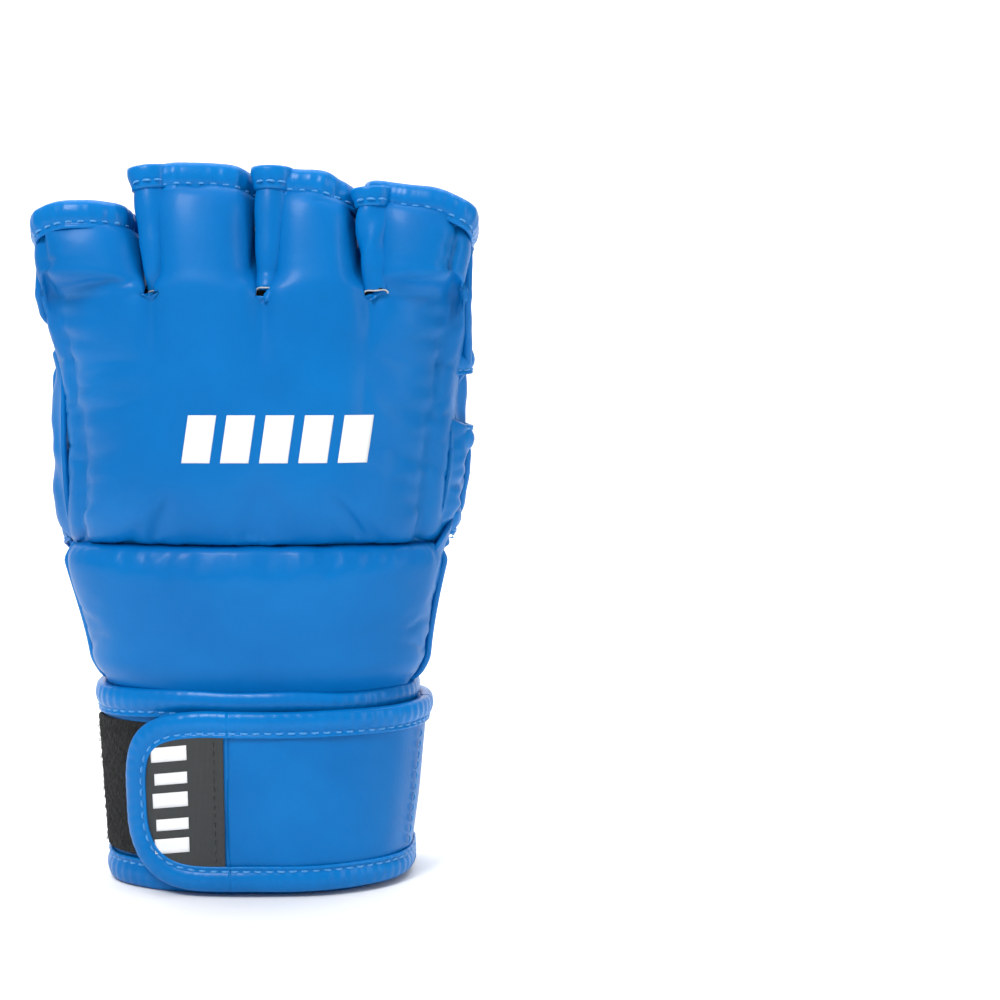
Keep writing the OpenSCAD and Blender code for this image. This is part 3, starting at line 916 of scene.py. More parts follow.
# ---------------------------------------------------------------- stuffed pads
@dataclass(frozen=True)
class Stuffing:
    """Cloth run that lets a sewn cover swell over its filling."""

    pressure: float = 4.0
    frames: int = 20
    cap: float = 2.2
    shrink: float = -0.02

    def settle(self, verts: Array, quads: list, pinned: Array) -> Array:
        """Lets a cover settle.

        Args:
            verts: Points of the cover in millimetres.
            quads: Its faces.
            pinned: How firmly each point is held, 0 to 1.

        Returns:
            The settled points.
        """
        scale = 0.01
        mesh = bpy.data.meshes.new("settling")
        mesh.from_pydata((verts * scale).tolist(), [], quads)
        obj = bpy.data.objects.new("settling", mesh)
        scene = bpy.context.scene
        scene.collection.objects.link(obj)
        group = obj.vertex_groups.new(name="sewn")
        for i, weight in enumerate(pinned):
            if weight > 0:
                group.add([i], float(weight), "REPLACE")
        cloth = obj.modifiers.new("cover", "CLOTH")
        settings = cloth.settings
        settings.quality = 6
        settings.mass = 0.6
        settings.tension_stiffness = settings.compression_stiffness = 12.0
        settings.shear_stiffness = 5.0
        settings.bending_stiffness = 0.6
        settings.vertex_group_mass = "sewn"
        settings.shrink_min = self.shrink
        settings.use_pressure = True
        settings.uniform_pressure_force = self.pressure
        settings.effector_weights.gravity = 0.0
        cloth.point_cache.frame_start = 1
        cloth.point_cache.frame_end = self.frames
        for frame in range(1, self.frames + 1):
            scene.frame_set(frame)
        seen = obj.evaluated_get(bpy.context.evaluated_depsgraph_get())
        moved = np.array([v.co[:] for v in seen.data.vertices]) / scale - verts
        scene.frame_set(1)
        bpy.data.objects.remove(obj)
        length = np.linalg.norm(moved, axis=1, keepdims=True)
        LOG.info("cover settled, at most %.2f mm", float(length.max()))
        eased = self.cap * np.tanh(length / self.cap) / np.maximum(length, 1e-6)
        return verts + moved * eased * (1 - pinned[:, None])


def vertex_normals(verts: Array, quads: list) -> Array:
    """Unit normals of a quad mesh at its points."""
    q = np.array(quads)
    face = np.cross(verts[q[:, 2]] - verts[q[:, 0]], verts[q[:, 3]] - verts[q[:, 1]])
    total = np.zeros_like(verts)
    for corner in range(4):
        np.add.at(total, q[:, corner], face)
    return unit(total)


@dataclass(frozen=True)
class StripLine:
    """Place of a strip between two finger columns.

    Attributes:
        name: Name of the groove it fills.
        rim: Column whose rim it hangs from.
        drop: Distance of its top below that rim.
        shift: Distance of its foot from the groove, towards the little finger.
        lean: Further shift of its top.
    """

    name: str
    rim: int
    drop: float
    shift: float
    lean: float


STRIPS = (StripLine("index_middle", 1, 2.4, 2.8, 2.6), StripLine("middle_ring", 1, 2.6, 1.8, 1.6),
          StripLine("ring_little", 3, 2.0, 1.5, 3.0))
STRIP_WIDE, STRIP_DEEP = 10.4, 7.0
STRIP_ROWS, STRIP_COLS, STRIP_BAND_ROWS = 40, 22, 8


class KnucklePad:
    """Thick pad over the knuckles, split by slots into four finger columns at its top."""

    ACROSS = 24
    LOW_ROWS = 62
    HIGH_ROWS = 30

    def __init__(self, form: GloveForm, bench: Bench) -> None:
        """Works from the glove's form."""
        self.form = form
        self.bench = bench

    def build(self) -> None:
        """Makes the pad's cover, the strips in its slots and the slots' ends."""
        self._cover()
        for groove in range(3):
            self._strip(groove)

    def _cover(self) -> None:
        """The cover over the foam, one sheet that parts above the slots."""
        form, n = self.form, self.ACROSS + 1
        rows = self.LOW_ROWS + self.HIGH_ROWS
        foot, slot = form.crease_h - 2.2, form.root_h
        points = np.zeros((rows, 4 * n, 3))
        to_rim = np.zeros((rows, 4 * n))
        index = np.arange(rows * 4 * n).reshape(rows, 4 * n)
        for k in range(4):
            u = 180 + 180 * np.linspace(0, 1, n)
            top = form.rim(k, u) - 5.0
            low = np.linspace(foot, slot, self.LOW_ROWS)[:, None] + 0 * u
            high = slot + (top - slot) * np.linspace(0, 1, self.HIGH_ROWS + 1)[1:, None]
            z = np.vstack([low, high])
            cols = slice(k * n, (k + 1) * n)
            points[:, cols] = form.tube(k, u, z)
            to_rim[:, cols] = top - z
            if k:
                index[:self.LOW_ROWS, k * n] = index[:self.LOW_ROWS, k * n - 1]
        quads = [tuple(int(index[j + a, i + b]) for a, b in ((0, 0), (0, 1), (1, 1), (1, 0)))
                 for j in range(rows - 1) for i in range(4 * n - 1) if (i + 1) % n]
        used, inverse = np.unique(np.array(quads), return_inverse=True)
        quads = [tuple(q) for q in inverse.reshape(-1, 4).tolist()]
        verts, to_rim = points.reshape(-1, 3)[used], to_rim.reshape(-1)[used]
        normals = vertex_normals(verts, quads)
        x, z = verts[:, 0], verts[:, 2]
        inset = np.minimum(x - form.edge(0, z), form.edge(4, z) - x)
        side = np.clip(inset / 22, 0, 1)
        seam = inset - 6.0 - 1.2 * np.sin(z * 0.06)
        above = z - foot
        depth = roll_in(above, 13.0, 8.0) * (0.3 + 0.7 * side)
        depth += roll_in(to_rim - 1.0, 8.0, 2.8)
        depth += 3.3 * np.exp(-np.abs(seam) / np.where(seam < 0, 3.4, 1.9))
        channel = sum(np.exp(-((x - form.edge(g, z)) / 3.6) ** 2) for g in (1, 2, 3))
        depth += 2.6 * channel * smooth((z - slot + 26) / 24) * (1 - smooth((z - slot) / 4))
        depth -= 0.5 * ripple(x, z, 3, 46.0) * side
        depth -= pucker(above, x, 11, 0.6, 6.0, 8.0) + pucker(to_rim, x, 12, 0.5, 7.0, 9.0)
        depth -= pucker(np.where(seam < 0, 30, seam), z, 13, 1.0, 4.5, 8.0)
        depth -= 0.5 * np.exp(-((z - slot - 4) / 12) ** 2) * ripple(x, z * 0.35, 5, 11.0) * channel
        verts = verts - normals * depth[:, None]
        waist = curve(((-4, 0.3), (10, 1.0), (44, 1.0), (66, 0.0)), z - form.crease_h)
        verts[:, 0] *= 1 - 0.05 * waist * smooth(np.abs(x) / 40)
        held = np.clip(np.maximum(1 - above / 3, 1 - to_rim / 3), 0, 1)
        held = np.maximum(held, np.clip(1 - np.abs(seam) / 1.5, 0, 1))
        held = np.maximum(held, np.clip(1 - inset / 1.5, 0, 1))
        verts = Stuffing().settle(verts, quads, held)
        inner = verts - vertex_normals(verts, quads) * 1.5
        names = ["knuckle_cover", "knuckle_foam"]
        for f in FINGERS:
            names += [f"{f}_cover", f"{f}_foam"]
        pad = self.bench.piece("knuckle_pad", shell(verts, inner, quads), "cover", replaces=names)
        self._device(verts, quads)

    def _device(self, verts: Array, quads: list) -> None:
        """Plain printed device of slanted bars, laid on the cover."""
        tree = BVHTree.FromPolygons(verts.tolist(), quads)
        for bar in range(5):
            s, t = np.meshgrid(np.linspace(0, 1, 9), np.linspace(0, 1, 15))
            x = -20.5 + 11.8 * bar + 8.6 * s + 2.2 * t
            z = self.form.crease_h + 25.5 + 14.5 * t
            spots = [tree.ray_cast(Vector((a, -100.0, b)), Vector((0.0, 1.0, 0.0)))
                     for a, b in zip(x.ravel(), z.ravel())]
            laid = np.array([hit[0][:] for hit in spots]).reshape(*x.shape, 3)
            self.bench.piece(f"pad_mark_{bar}", sheet(laid, 0.3, 0.12), "print")

    def _strip(self, groove: int) -> None:
        """Tapered strip that hangs from a rim into a slot, and its cut lower end."""
        form = self.form
        line = STRIPS[groove]
        name = line.name
        z = np.linspace(form.root_h + 2.0, form.rim_tops[line.rim] - line.drop, STRIP_ROWS)
        share = (z - z[0]) / (z[-1] - z[0])
        face = form.tube(groove, np.full(z.shape, 305.0), z)[:, 1]
        x = form.edge(groove + 1, z) + line.shift + line.lean * share
        path = stack(x, face + 1.2 + 1.8 * (1 - smooth(share / 0.3)) - 0.6 * share, z)
        size = mix(0.68, 1.08, share**0.8) * (1 + 0.04 * ripple(z, z * 0, 31 + groove, 12.0))
        size *= 1 - 0.12 * np.exp(-((share - 0.86) / 0.07) ** 2)
        section = oval(STRIP_WIDE, STRIP_DEEP, STRIP_COLS) * size[:, None, None]
        lengthwise = unit(np.gradient(path, axis=0))
        across = unit(np.cross(lengthwise, np.tile([0.0, -1.0, 0.0], (len(z), 1))))
        out = unit(np.cross(across, lengthwise))
        turn = np.linspace(0, TURN, STRIP_COLS, endpoint=False)
        fold = 1 - 0.07 * np.exp(-((np.sin(turn - 1.1)) / 0.25) ** 2) * (np.cos(turn - 1.1) > 0)
        if groove == 2:
            fold = fold + 0.09 * np.sin(turn * 3 + z[:, None] * 0.45) * smooth(share / 0.5)[:, None]
        section = section * np.broadcast_to(fold, (len(z), STRIP_COLS))[..., None]
        self.bench.piece(f"{name}_strip", sweep(path, across, out, section, False), "panel",
                         replaces=[f"{name}_roll"])
        self._strip_band(name, path, across, out, size)
        self._cut_end(name, path[0], across[0], out[0], lengthwise[0], STRIP_WIDE * size[0],
                      STRIP_DEEP * size[0])

    def _strip_band(self, name: str, path: Array, across: Array, out: Array, size: Array) -> None:
        """Binding round the top of a strip, with its stitches."""
        wrap = slice(STRIP_ROWS - STRIP_BAND_ROWS, STRIP_ROWS)
        bulge = 1 + 0.06 * np.sin(np.linspace(0, np.pi, STRIP_BAND_ROWS))
        band = oval(STRIP_WIDE + 1.4, STRIP_DEEP + 1.4, STRIP_COLS) * (size[wrap] * bulge)[:, None, None]
        wrapped = sweep(path[wrap], across[wrap], out[wrap], band, False)
        self.bench.piece(f"{name}_strip_band", wrapped, "binding")
        at, count = wrap.start + 2, 12
        row = np.linspace(-4.8, 4.8, count)
        swell = 4.4 * np.sqrt(1 - (row / 6.1) ** 2)
        arc = path[at] + across[at] * row[:, None] + out[at] * swell[:, None]
        seam = Trace(arc, np.tile([0.0, 0.0, 1.0], (count, 1)), np.tile(out[at], (count, 1)))
        self.bench.piece(f"{name}_strip_stitches", stitches(seam, Stitch.PANEL, seed=2), "thread")

    def _cut_end(self, name: str, at: Array, across: Array, out: Array, up: Array, wide: float,
                 deep: float) -> None:
        """Open end of a strip: a pale cut edge and a capped mouth in near-black painted shade."""
        count = 26
        turn = np.linspace(0, TURN, count, endpoint=False)[:, None]
        ring = across * np.cos(turn) * wide / 2 + out * np.sin(turn) * deep / 2
        tilt = up * (1.3 * np.sin(turn) - 0.9 + 0.3 * np.sin(turn * 3))
        lip = at + ring * 1.02 + tilt
        radial = unit(ring)
        edge = sweep(lip, radial, unit(np.cross(radial, np.roll(lip, -1, 0) - lip)), oval(0.6, 0.45, 7), True)
        self.bench.piece(f"{name}_cut_edge", edge, "raw")
        # The mouth is capped and given the near-black finish: painted shade for the inside of the tube's end.
        layers = [at + ring * f + tilt * min(1.0, f + 0.4) + up * d - out * e for f, d, e in
                  ((0.98, 0.6, 0.0), (0.96, -0.1, 0.0), (0.7, -0.1, 0.3), (0.35, 0.0, 0.5), (0.05, 0.1, 0.5))]
        base = [at + ring * 0.5 + up * 2.5]
        rings = np.array(base + layers)
        faces = grid_faces(len(rings), count, True) + [tuple(reversed(range(count)))]
        faces += [tuple((len(rings) - 1) * count + i for i in range(count))]
        self.bench.piece(f"{name}_mouth_shade", Solid(rings.reshape(-1, 3), faces), "painted_shade")


class BackPad:
    """Pad between the knuckle pad and the cuff, with its piping and side gussets."""

    def __init__(self, form: GloveForm, bench: Bench) -> None:
        """Works from the glove's form."""
        self.form = form
        self.bench = bench
        self.foot = form.cuff_h - 5.0
        self.top = form.crease_h - 0.4

    def build(self) -> None:
        """Makes the pad, the crease behind it, piping and gussets."""
        form = self.form
        u, z = np.meshgrid(np.linspace(188, 352, 110), np.linspace(self.foot, self.top, 44))
        beside = np.minimum(u - 188, 352 - u) * 1.15
        depth = roll_in(self.top - z, 10.0, 6.5) + roll_in(beside, 8.0, 2.6)
        depth -= 1.5 * smooth(beside / 26) * smooth((z - self.foot) / 14)
        depth -= 0.35 * ripple(u, z, 21, 40.0)
        depth -= pucker(self.top - z, u, 22, 0.6, 6.0, 8.0) + pucker(beside, z, 23, 0.7, 5.0, 8.0)
        grid = form.hand(u, z, depth)
        rows, cols = u.shape
        quads = grid_faces(rows, cols)
        verts = grid.reshape(-1, 3)
        edge = np.ones(u.shape)
        edge[2:-2, 2:-2] = 0
        verts = Stuffing(cap=1.6).settle(verts, quads, edge.reshape(-1))
        solid = sheet(verts.reshape(rows, cols, 3), 1.5)
        pad = self.bench.piece("back_pad", solid, "cover", replaces=["back_cover", "back_foam"])
        u, z = np.meshgrid(np.linspace(187, 353, 80), np.linspace(self.top - 7, form.crease_h + 6, 8))
        web = mix(4.2, 6.6, smooth(-1.2 * np.sin(np.radians(u))))
        self.bench.piece("crease_web", sheet(form.hand(u, z, web), 0.9), "panel")
        self._side("thumb", 188.0, 171.0)
        self._side("little", 352.0, 364.0)

    def _side(self, name: str, at: float, to: float) -> None:
        """Piping along one side of the pad and the gathered gusset beyond it."""
        form = self.form
        path = drawn(form.hand, [(at, self.foot), (at, form.height(0.2)), (at, self.top + 1.5)], 0.1)
        path = path.sunk(3.0, 6.0, 9.0)
        cord = sweep(path.points, path.side, path.out, oval(2.7, 2.5, 10), False)
        self.bench.piece(f"{name}_piping", cord, "binding")
        low, high = min(at, to), max(at, to)
        u, z = np.meshgrid(np.linspace(low, high, 22), np.linspace(self.foot, self.top - 0.5, 60))
        f = np.abs(u - at) / abs(to - at)
        folds = 0.75 * np.sin(z * 0.75 + 2.2 * np.sin(z * 0.17)) * np.sin(np.pi * np.clip(f, 0, 1)) ** 0.7
        folds += 0.5 * ripple(u * 1.1, z, 25, 12.0)
        under = 4.0 * smooth((f - 0.3) / 0.45) + 3.0 * (1 - smooth((self.top - z) / 12))
        gusset = sheet(form.hand(u, z, 1.2 + under - folds), 1.3)
        self.bench.piece(f"{name}_gusset_skin", gusset, "panel", replaces=[f"{name}_gusset"])


class SideEdges:
    """Bound side edges of the knuckle pad beside the palm opening."""

    def __init__(self, form: GloveForm, bench: Bench) -> None:
        """Works from the glove's form."""
        self.form = form
        self.bench = bench

    def build(self) -> None:
        """Makes the two crumpled edges."""
        self._edge("thumb", 181.0, 167.0, 0.36, 0.9, 2.6)
        self._edge("little", 359.0, 371.0, 0.33, 0.7, 1.8)
        self._side_seam("thumb", 0, 181.0, 0.88)
        self._side_seam("little", 3, 359.0, 0.74)

    def _edge(self, name: str, at: float, to: float, low: float, high: float, proud: float) -> None:
        """One edge: a gathered panel round the side with a rolled, stitched border."""
        form = self.form
        turn = 1 if to > at else -1
        u, z = np.meshgrid(np.linspace(0, 1, 34), form.height(np.linspace(low, high, 90)))
        share = (z - form.height(low)) / (form.height(high) - form.height(low))
        swell = proud * np.sin(np.pi * np.clip(share, 0, 1)) ** 0.6
        crumple = 1.3 * ripple(u * 8, z, 41 + turn, 13.0) + 0.6 * ripple(u * 14, z, 44 + turn, 6.0)
        depth = 1.2 - swell - crumple * np.sin(np.pi * u * 0.9) + 1.6 * u**3
        angle = at - turn * 13 * (1 - u) + (to - at) * u
        ends = np.minimum(share, 1 - share)
        depth = depth + 3.4 * np.maximum(1 - smooth(u / 0.45), 1 - smooth(ends / 0.1))
        if turn < 0:
            angle, depth, z = angle[:, ::-1], depth[:, ::-1], z[:, ::-1]
        skin = sheet(form.hand(angle, z, depth), 1.8)
        self.bench.piece(f"{name}_edge_skin", skin, "panel", replaces=[f"{name}_edge_binding"])
        line = form.height(np.linspace(low, high, 70))
        sway = to + 1.6 * ripple(line, line * 0, 45 + turn, 17.0)
        swell = proud * 0.8 * np.sin(np.linspace(0, np.pi, 70)) ** 0.6
        trace = Trace.on(form.hand, sway, line, -0.4 + swell + 0.8 * ripple(line, line * 0, 47 + turn, 11.0))
        trace = trace.sunk(7.0, 7.0, 12.0)
        girth = 1 + 0.14 * ripple(line, line * 0, 43, 10.0)
        rolled = sweep(trace.points, trace.side, trace.out, oval(6.0, 4.0, 16) * girth[:, None, None], False)
        self.bench.piece(f"{name}_edge_roll", rolled, "binding")
        shown = Trace(*(row[10:-10] for row in (trace.points, trace.side, trace.out)))
        thread = stitches(shown.moved(turn * -1.2, 1.75), Stitch.EDGE, seed=4)
        self.bench.piece(f"{name}_edge_seam", thread, "thread")

    def _side_seam(self, name: str, k: int, u: float, low: float) -> None:
        """Upright rolled seam that takes in the ends of the palm band."""
        form = self.form
        z = np.linspace(float(form.height(low)), float(form.rim(k, u)) - 7.5, 80)
        wave = 0.2 * ripple(z, z * 0, 48, 16.0)
        trace = Trace.on(lambda a, b: form.tube(k, a, b), u + 2 * wave, z, -0.4 + wave).sunk(7.0, 2.0, 14.0)
        girth = 1 + 0.08 * ripple(z, z * 0, 49, 7.0)
        rolled = sweep(trace.points, trace.side, trace.out, oval(3.8, 3.4, 14) * girth[:, None, None], False)
        self.bench.piece(f"{name}_side_seam", rolled, "panel")


VENTS = ((66, 196.0), (88, 202.0), (92, 199.5), (80, 197.5))
"""Angle and height of the punched hole in each tube."""


class Fingers:
    """Palm sides, rims and linings of the four finger tubes."""

    def __init__(self, form: GloveForm, bench: Bench) -> None:
        """Works from the glove's form."""
        self.form = form
        self.bench = bench

    def build(self) -> None:
        """Makes the four tubes."""
        for k, name in enumerate(FINGERS):
            self._sleeve(k, name)
            self._rim(k, name)
            self._lining(k, name)
            self._vent(k, name)

    def _sleeve(self, k: int, name: str) -> None:
        """Palm side of a tube."""
        form = self.form
        u = np.linspace(0.5, 179.5, 64)
        top = form.rim(k, u) - 5.0
        foot = form.height((0.885, 0.93, 0.92, 0.8)[k])
        v = np.linspace(0, 1, 44)[:, None]
        z = foot + (top - foot) * v
        u = np.broadcast_to(u, z.shape)
        depth = roll_in(top - z, 8.0, 1.8) + 1.0
        depth = depth - 0.75 * ripple(u * 0.35, z, 51 + k, 15.0)
        depth -= pucker(top - z, u * 0.35, 61 + k, 0.7, 8.0, 7.0)
        depth = depth + 2.4 * (1 - smooth((z - foot) / 12)) * (smooth((130 - u) / 20) if k == 0 else 1.0)
        depth = depth + 2.2 * (1 - smooth((z - foot) / 5))
        if k == 0:
            depth = depth - 1.2 * smooth((u - 120) / 20)
        skin = sheet(form.tube(k, u, z, depth), 1.3)
        self.bench.piece(f"{name}_palm_side", skin, "panel", replaces=[f"{name}_sleeve"])

    def _rim(self, k: int, name: str) -> None:
        """Bound rim of a tube."""
        form = self.form
        count = 150
        trace = around(lambda u, z: form.tube(k, u, z, 1.6), lambda u: form.rim(k, u) - 0.8, count)
        a = np.radians(np.linspace(0, 360, count, endpoint=False))
        sway = 0.6 * np.sin(a * 3 + k) + 0.4 * np.sin(a * 7 + 2 * k)
        trace = Trace(trace.points + trace.out * sway[:, None], trace.side, trace.out)
        tape, thread = Tape(8.4, 1.0, 3.0, 0.72).lay(trace, -1, True, 71 + k)
        self.bench.piece(f"{name}_rim", tape, "binding", replaces=[f"{name}_rim_binding"])
        self.bench.piece(f"{name}_rim_stitches", thread, "thread")

    def _lining(self, k: int, name: str) -> None:
        """Ribbed lining of a tube."""
        form = self.form
        u = np.linspace(0, 360, 90, endpoint=False)
        top = form.rim(k, u) - 3.0
        foot = form.root_h + 2.0
        v = np.linspace(0, 1, 16)[:, None]
        z = foot + (top - foot) * v
        u = np.broadcast_to(u, z.shape)
        wall = 5.8 + 2.5 * smooth((form.root_h + 20 - z) / 25) * (np.sin(np.radians(u)) < 0)
        folds = 0.7 * ripple(u * 0.3, z, 81 + k, 10.0)
        inner = sheet(form.tube(k, u, z, wall + folds), 0.9, wrap=True)
        self.bench.piece(f"{name}_tube_lining", inner, "lining", replaces=[f"{name}_lining"])

    def _vent(self, k: int, name: str) -> None:
        """Punched hole with a pale cut edge on the palm side of a tube, filled by a near-black disc of
        painted shade.
        """
        form = self.form
        u, z = VENTS[k]
        spot = Trace.on(lambda a, b: form.tube(k, a, b, 0.6), np.array([u, u + 0.1]), np.array([z, z]))
        centre, out = spot.points[0], spot.out[0]
        right = unit(np.cross([0.0, 0.0, 1.0], out))
        up = np.cross(out, right)
        count = 18
        turn = np.linspace(0, TURN, count, endpoint=False)[:, None]
        radial = right * np.cos(turn) + up * np.sin(turn)
        lip = centre + radial * 1.35 + out * 0.75
        ring = sweep(lip, radial, np.tile(out, (count, 1)), oval(0.6, 0.5, 6), True)
        # Near-black disc in the hole: painted shade for the hollow behind it.
        well = centre + out * np.array([[-0.6], [0.35], [0.62]])
        shade_disc = sweep(well, np.tile(right, (3, 1)), np.tile(up, (3, 1)),
                     oval(2.5, 2.5, 16) * np.array([1.0, 1.0, 0.8])[:, None, None], False)
        self.bench.piece(f"{name}_vent_edge", ring, "raw")
        self.bench.piece(f"{name}_vent_shade", shade_disc, "painted_shade")


# ---------------------------------------------------------------- palm
# The bands and the flap run by angle and share of the hand's height, the heel's sides by share and angle.
BAND_TOP = ((4, 0.87), (24, 0.88), (40, 0.91), (56, 0.94), (68, 0.98), (82, 1.02), (93, 1.04), (110, 1.035),
            (122, 1.03), (130, 1.05))
BAND_BOTTOM = ((4, 0.62), (22, 0.63), (40, 0.67), (56, 0.71), (67, 0.75), (80, 0.83), (93, 0.875),
               (110, 0.885), (140, 0.885), (178, 0.87))
HEEL_LITTLE = ((-0.06, -4), (0.42, -4), (0.465, 12), (0.5, 32), (0.54, 48), (0.6, 58), (0.67, 66), (0.74, 74),
               (0.8, 81), (0.83, 87))
HEEL_THUMB = ((-0.06, 108), (0.0, 104), (0.06, 99), (0.13, 94), (0.24, 91), (0.31, 91.5), (0.39, 93.5),
              (0.49, 100), (0.57, 104.5), (0.67, 106.5), (0.75, 103), (0.81, 95), (0.83, 89))
FLAP_EDGE = ((48, 0.012), (75, 0.016), (93, 0.02), (101, 0.032), (107, 0.055), (113, 0.085),
             (119, 0.145), (128, 0.23), (138, 0.28), (152, 0.35), (170, 0.41), (181, 0.43))


class Palm:
    """Cross band, heel panel with its padded patch, wrist flap and hand lining."""

    def __init__(self, form: GloveForm, bench: Bench) -> None:
        """Works from the glove's form."""
        self.form = form
        self.bench = bench

    def build(self) -> None:
        """Makes every piece of the palm."""
        self._lining()
        self._flap()
        self._heel()
        self._patch()
        self._band()
        self._fold()

    def _points(self, table: Sequence, swap: bool = False) -> list:
        """Table of angle and share as angle and height."""
        if swap:
            return [(u, float(self.form.height(f))) for f, u in table]
        return [(u, float(self.form.height(f))) for u, f in table]

    def _bind(self, name: str, node: str, trace: Trace, inward: int, seed: int, tape: Tape = Tape()) -> None:
        """Tape and stitches along one edge."""
        solid, thread = tape.lay(trace, inward, False, seed)
        self.bench.piece(name, solid, "binding", replaces=[node])
        self.bench.piece(f"{name}_stitches", thread, "thread")

    def _lining(self) -> None:
        """Ribbed lining of the padded back, seen through the palm opening."""
        form = self.form
        u, z = np.meshgrid(np.linspace(177, 363, 90), np.linspace(form.cuff_h - 3, form.root_h + 3, 90))
        wall = mix(8.6, 13.0, smooth(-1.2 * np.sin(np.radians(u))))
        crease = 1.5 * np.exp(-((z - form.height(0.47) + 3 * np.sin(u * 0.06)) / 3.2) ** 2)
        folds = 1.1 * ripple(u * 0.9, z, 91, 38.0) + 0.5 * ripple(u * 0.9, z, 92, 14.0)
        self.bench.piece("palm_lining", sheet(form.hand(u, z, wall - crease + folds), 1.0), "lining",
                         replaces=["hand_lining"])

    def _flap(self) -> None:
        """Wrist flap on the thumb side, with folds running off its bound edge."""
        form = self.form
        edge = self._points(FLAP_EDGE)
        u = np.linspace(96, 181, 76)
        top = curve(edge, u)
        foot = form.cuff_h - 5
        z = foot + (top - foot) * np.linspace(0, 1, 46)[:, None]
        u = np.broadcast_to(u, z.shape)
        below = top - z
        reach = smooth((u - 116) / 22)
        fold = 2.6 * np.exp(-((z - form.height(0.13) + (u - 150) * 0.5) / 3.6) ** 2) * reach
        fold -= 2.0 * np.exp(-((z - form.height(0.2) + (u - 150) * 0.42) / 3.4) ** 2) * reach
        fold += 1.4 * np.exp(-((z - form.height(0.28) + (u - 158) * 0.3) / 3.0) ** 2) * smooth((u - 135) / 20)
        lift = 0.8 * ripple(u, z, 95, 18.0) + fold + pucker(below, u, 96, 0.6, 6.0, 7.0)
        skin = sheet(form.hand(u, z, 1.2 - lift), 1.5)
        self.bench.piece("flap_panel", skin, "panel", replaces=["wrist_flap"])
        trace = drawn(form.hand, edge, 0.5).sunk(2.5, 3.0)
        self._bind("flap_binding", "wrist_flap_binding", trace, -1, 97, Tape(7.4))

    def _heel(self) -> None:
        """Heel panel that rises into a tongue, with a double row of stitches."""
        form = self.form
        share = -0.05 + 0.88 * np.sin(np.pi / 2 * np.linspace(0, 1, 74))
        low, high = curve(HEEL_LITTLE, share), curve(HEEL_THUMB, share)
        s = np.linspace(0, 1, 62)
        u = low[:, None] + (high - low)[:, None] * s
        z = np.broadcast_to(form.height(share)[:, None], u.shape)
        beside = np.minimum(s, 1 - s) * (high - low)[:, None] * 1.2
        fine = 0.55 * ripple(u + z * 0.5, z * 0.6, 102, 12.0)
        lift = 1.2 * ripple(u, z, 101, 34.0) + fine * smooth((beside - 8) / 8)
        inside = np.minimum(beside, (0.83 - share)[:, None] * form.hand_l)
        lift = lift + pucker(inside, z + u, 103, 0.4, 5.0, 7.0)
        skin = sheet(form.hand(u, z, 0.6 - lift), 1.6)
        self.bench.piece("heel_skin", skin, "panel", replaces=["heel_panel"])
        up = self._points([p for p in HEEL_LITTLE if 0.44 < p[0] < 0.82], True)
        down = self._points([p for p in reversed(HEEL_THUMB) if -0.05 < p[0] < 0.82], True)
        crown = [(88.0, float(form.height(0.832)))]
        corners = [(-9.0, float(form.height(0.42))), (2.0, float(form.height(0.45)))] + up[1:] + crown + down
        trace = drawn(form.hand, corners, 0.4).sunk(6.0, 4.0, 10.0)
        self._bind("heel_edge", "heel_binding", trace, -1, 104, Tape(7.6, 1.0, 2.4))
        inner = drawn(form.hand, corners, 0.55).sunk(6.0, 4.0, 10.0).moved(-8.9)
        self.bench.piece("heel_edge_stitches_inner", stitches(inner, Stitch.PANEL, seed=105), "thread")

    def _patch(self) -> None:
        """Padded patch, pointed at its top: a crowned closed form, flat where it lies on the heel."""
        form, count = self.form, 84
        turn = np.radians(np.linspace(0, 360, count, endpoint=False))
        r, a = np.meshgrid(np.linspace(0, 1, 20), turn, indexing="ij")
        up, over = np.sin(a), np.cos(a)
        across = 16.9 * power(over, 0.9) * (1 - 0.26 * up + 0.05 * over * up)
        along = np.where(up > 0, 27.5 * np.abs(up) ** 1.15, -24.0 * np.abs(up) ** 0.95)
        u = 83.5 + (across * 0.82 + along * 0.12) * r
        z = form.height(0.53) + (along - across * 0.16) * r
        crown = 5.0 * (1 - r**3.2) ** 0.75
        gather = 0.5 * np.sin(a * 40 + 2 * np.sin(a * 3)) * np.exp(-((r - 0.84) / 0.07) ** 2)
        groove = 0.9 * np.exp(-((r - 0.86) / 0.035) ** 2)
        outer = form.hand(u, z, -0.9 - crown - gather + groove - 0.5 * ripple(u, z, 107, 16.0) * (1 - r))
        inner = form.hand(u, z, -0.1 + 0 * r)
        ring = grid_faces(19, count, True)
        faces = [tuple(i + 1 for i in q) for q in ring]
        faces += [(0, 1 + (i + 1) % count, 1 + i) for i in range(count)]
        keep = [0] + list(range(count, 20 * count))
        solid = shell(outer.reshape(-1, 3)[keep], inner.reshape(-1, 3)[keep], faces)
        pad = self.bench.piece("patch_pad", solid, "panel", replaces=["palm_patch_cover", "palm_patch_foam"])
        line = Trace(outer[16], unit(outer[16] - outer[15]), unit(outer[16] - inner[16]))
        self.bench.piece("patch_stitches", stitches(line, Stitch.PANEL, True, 106), "thread")

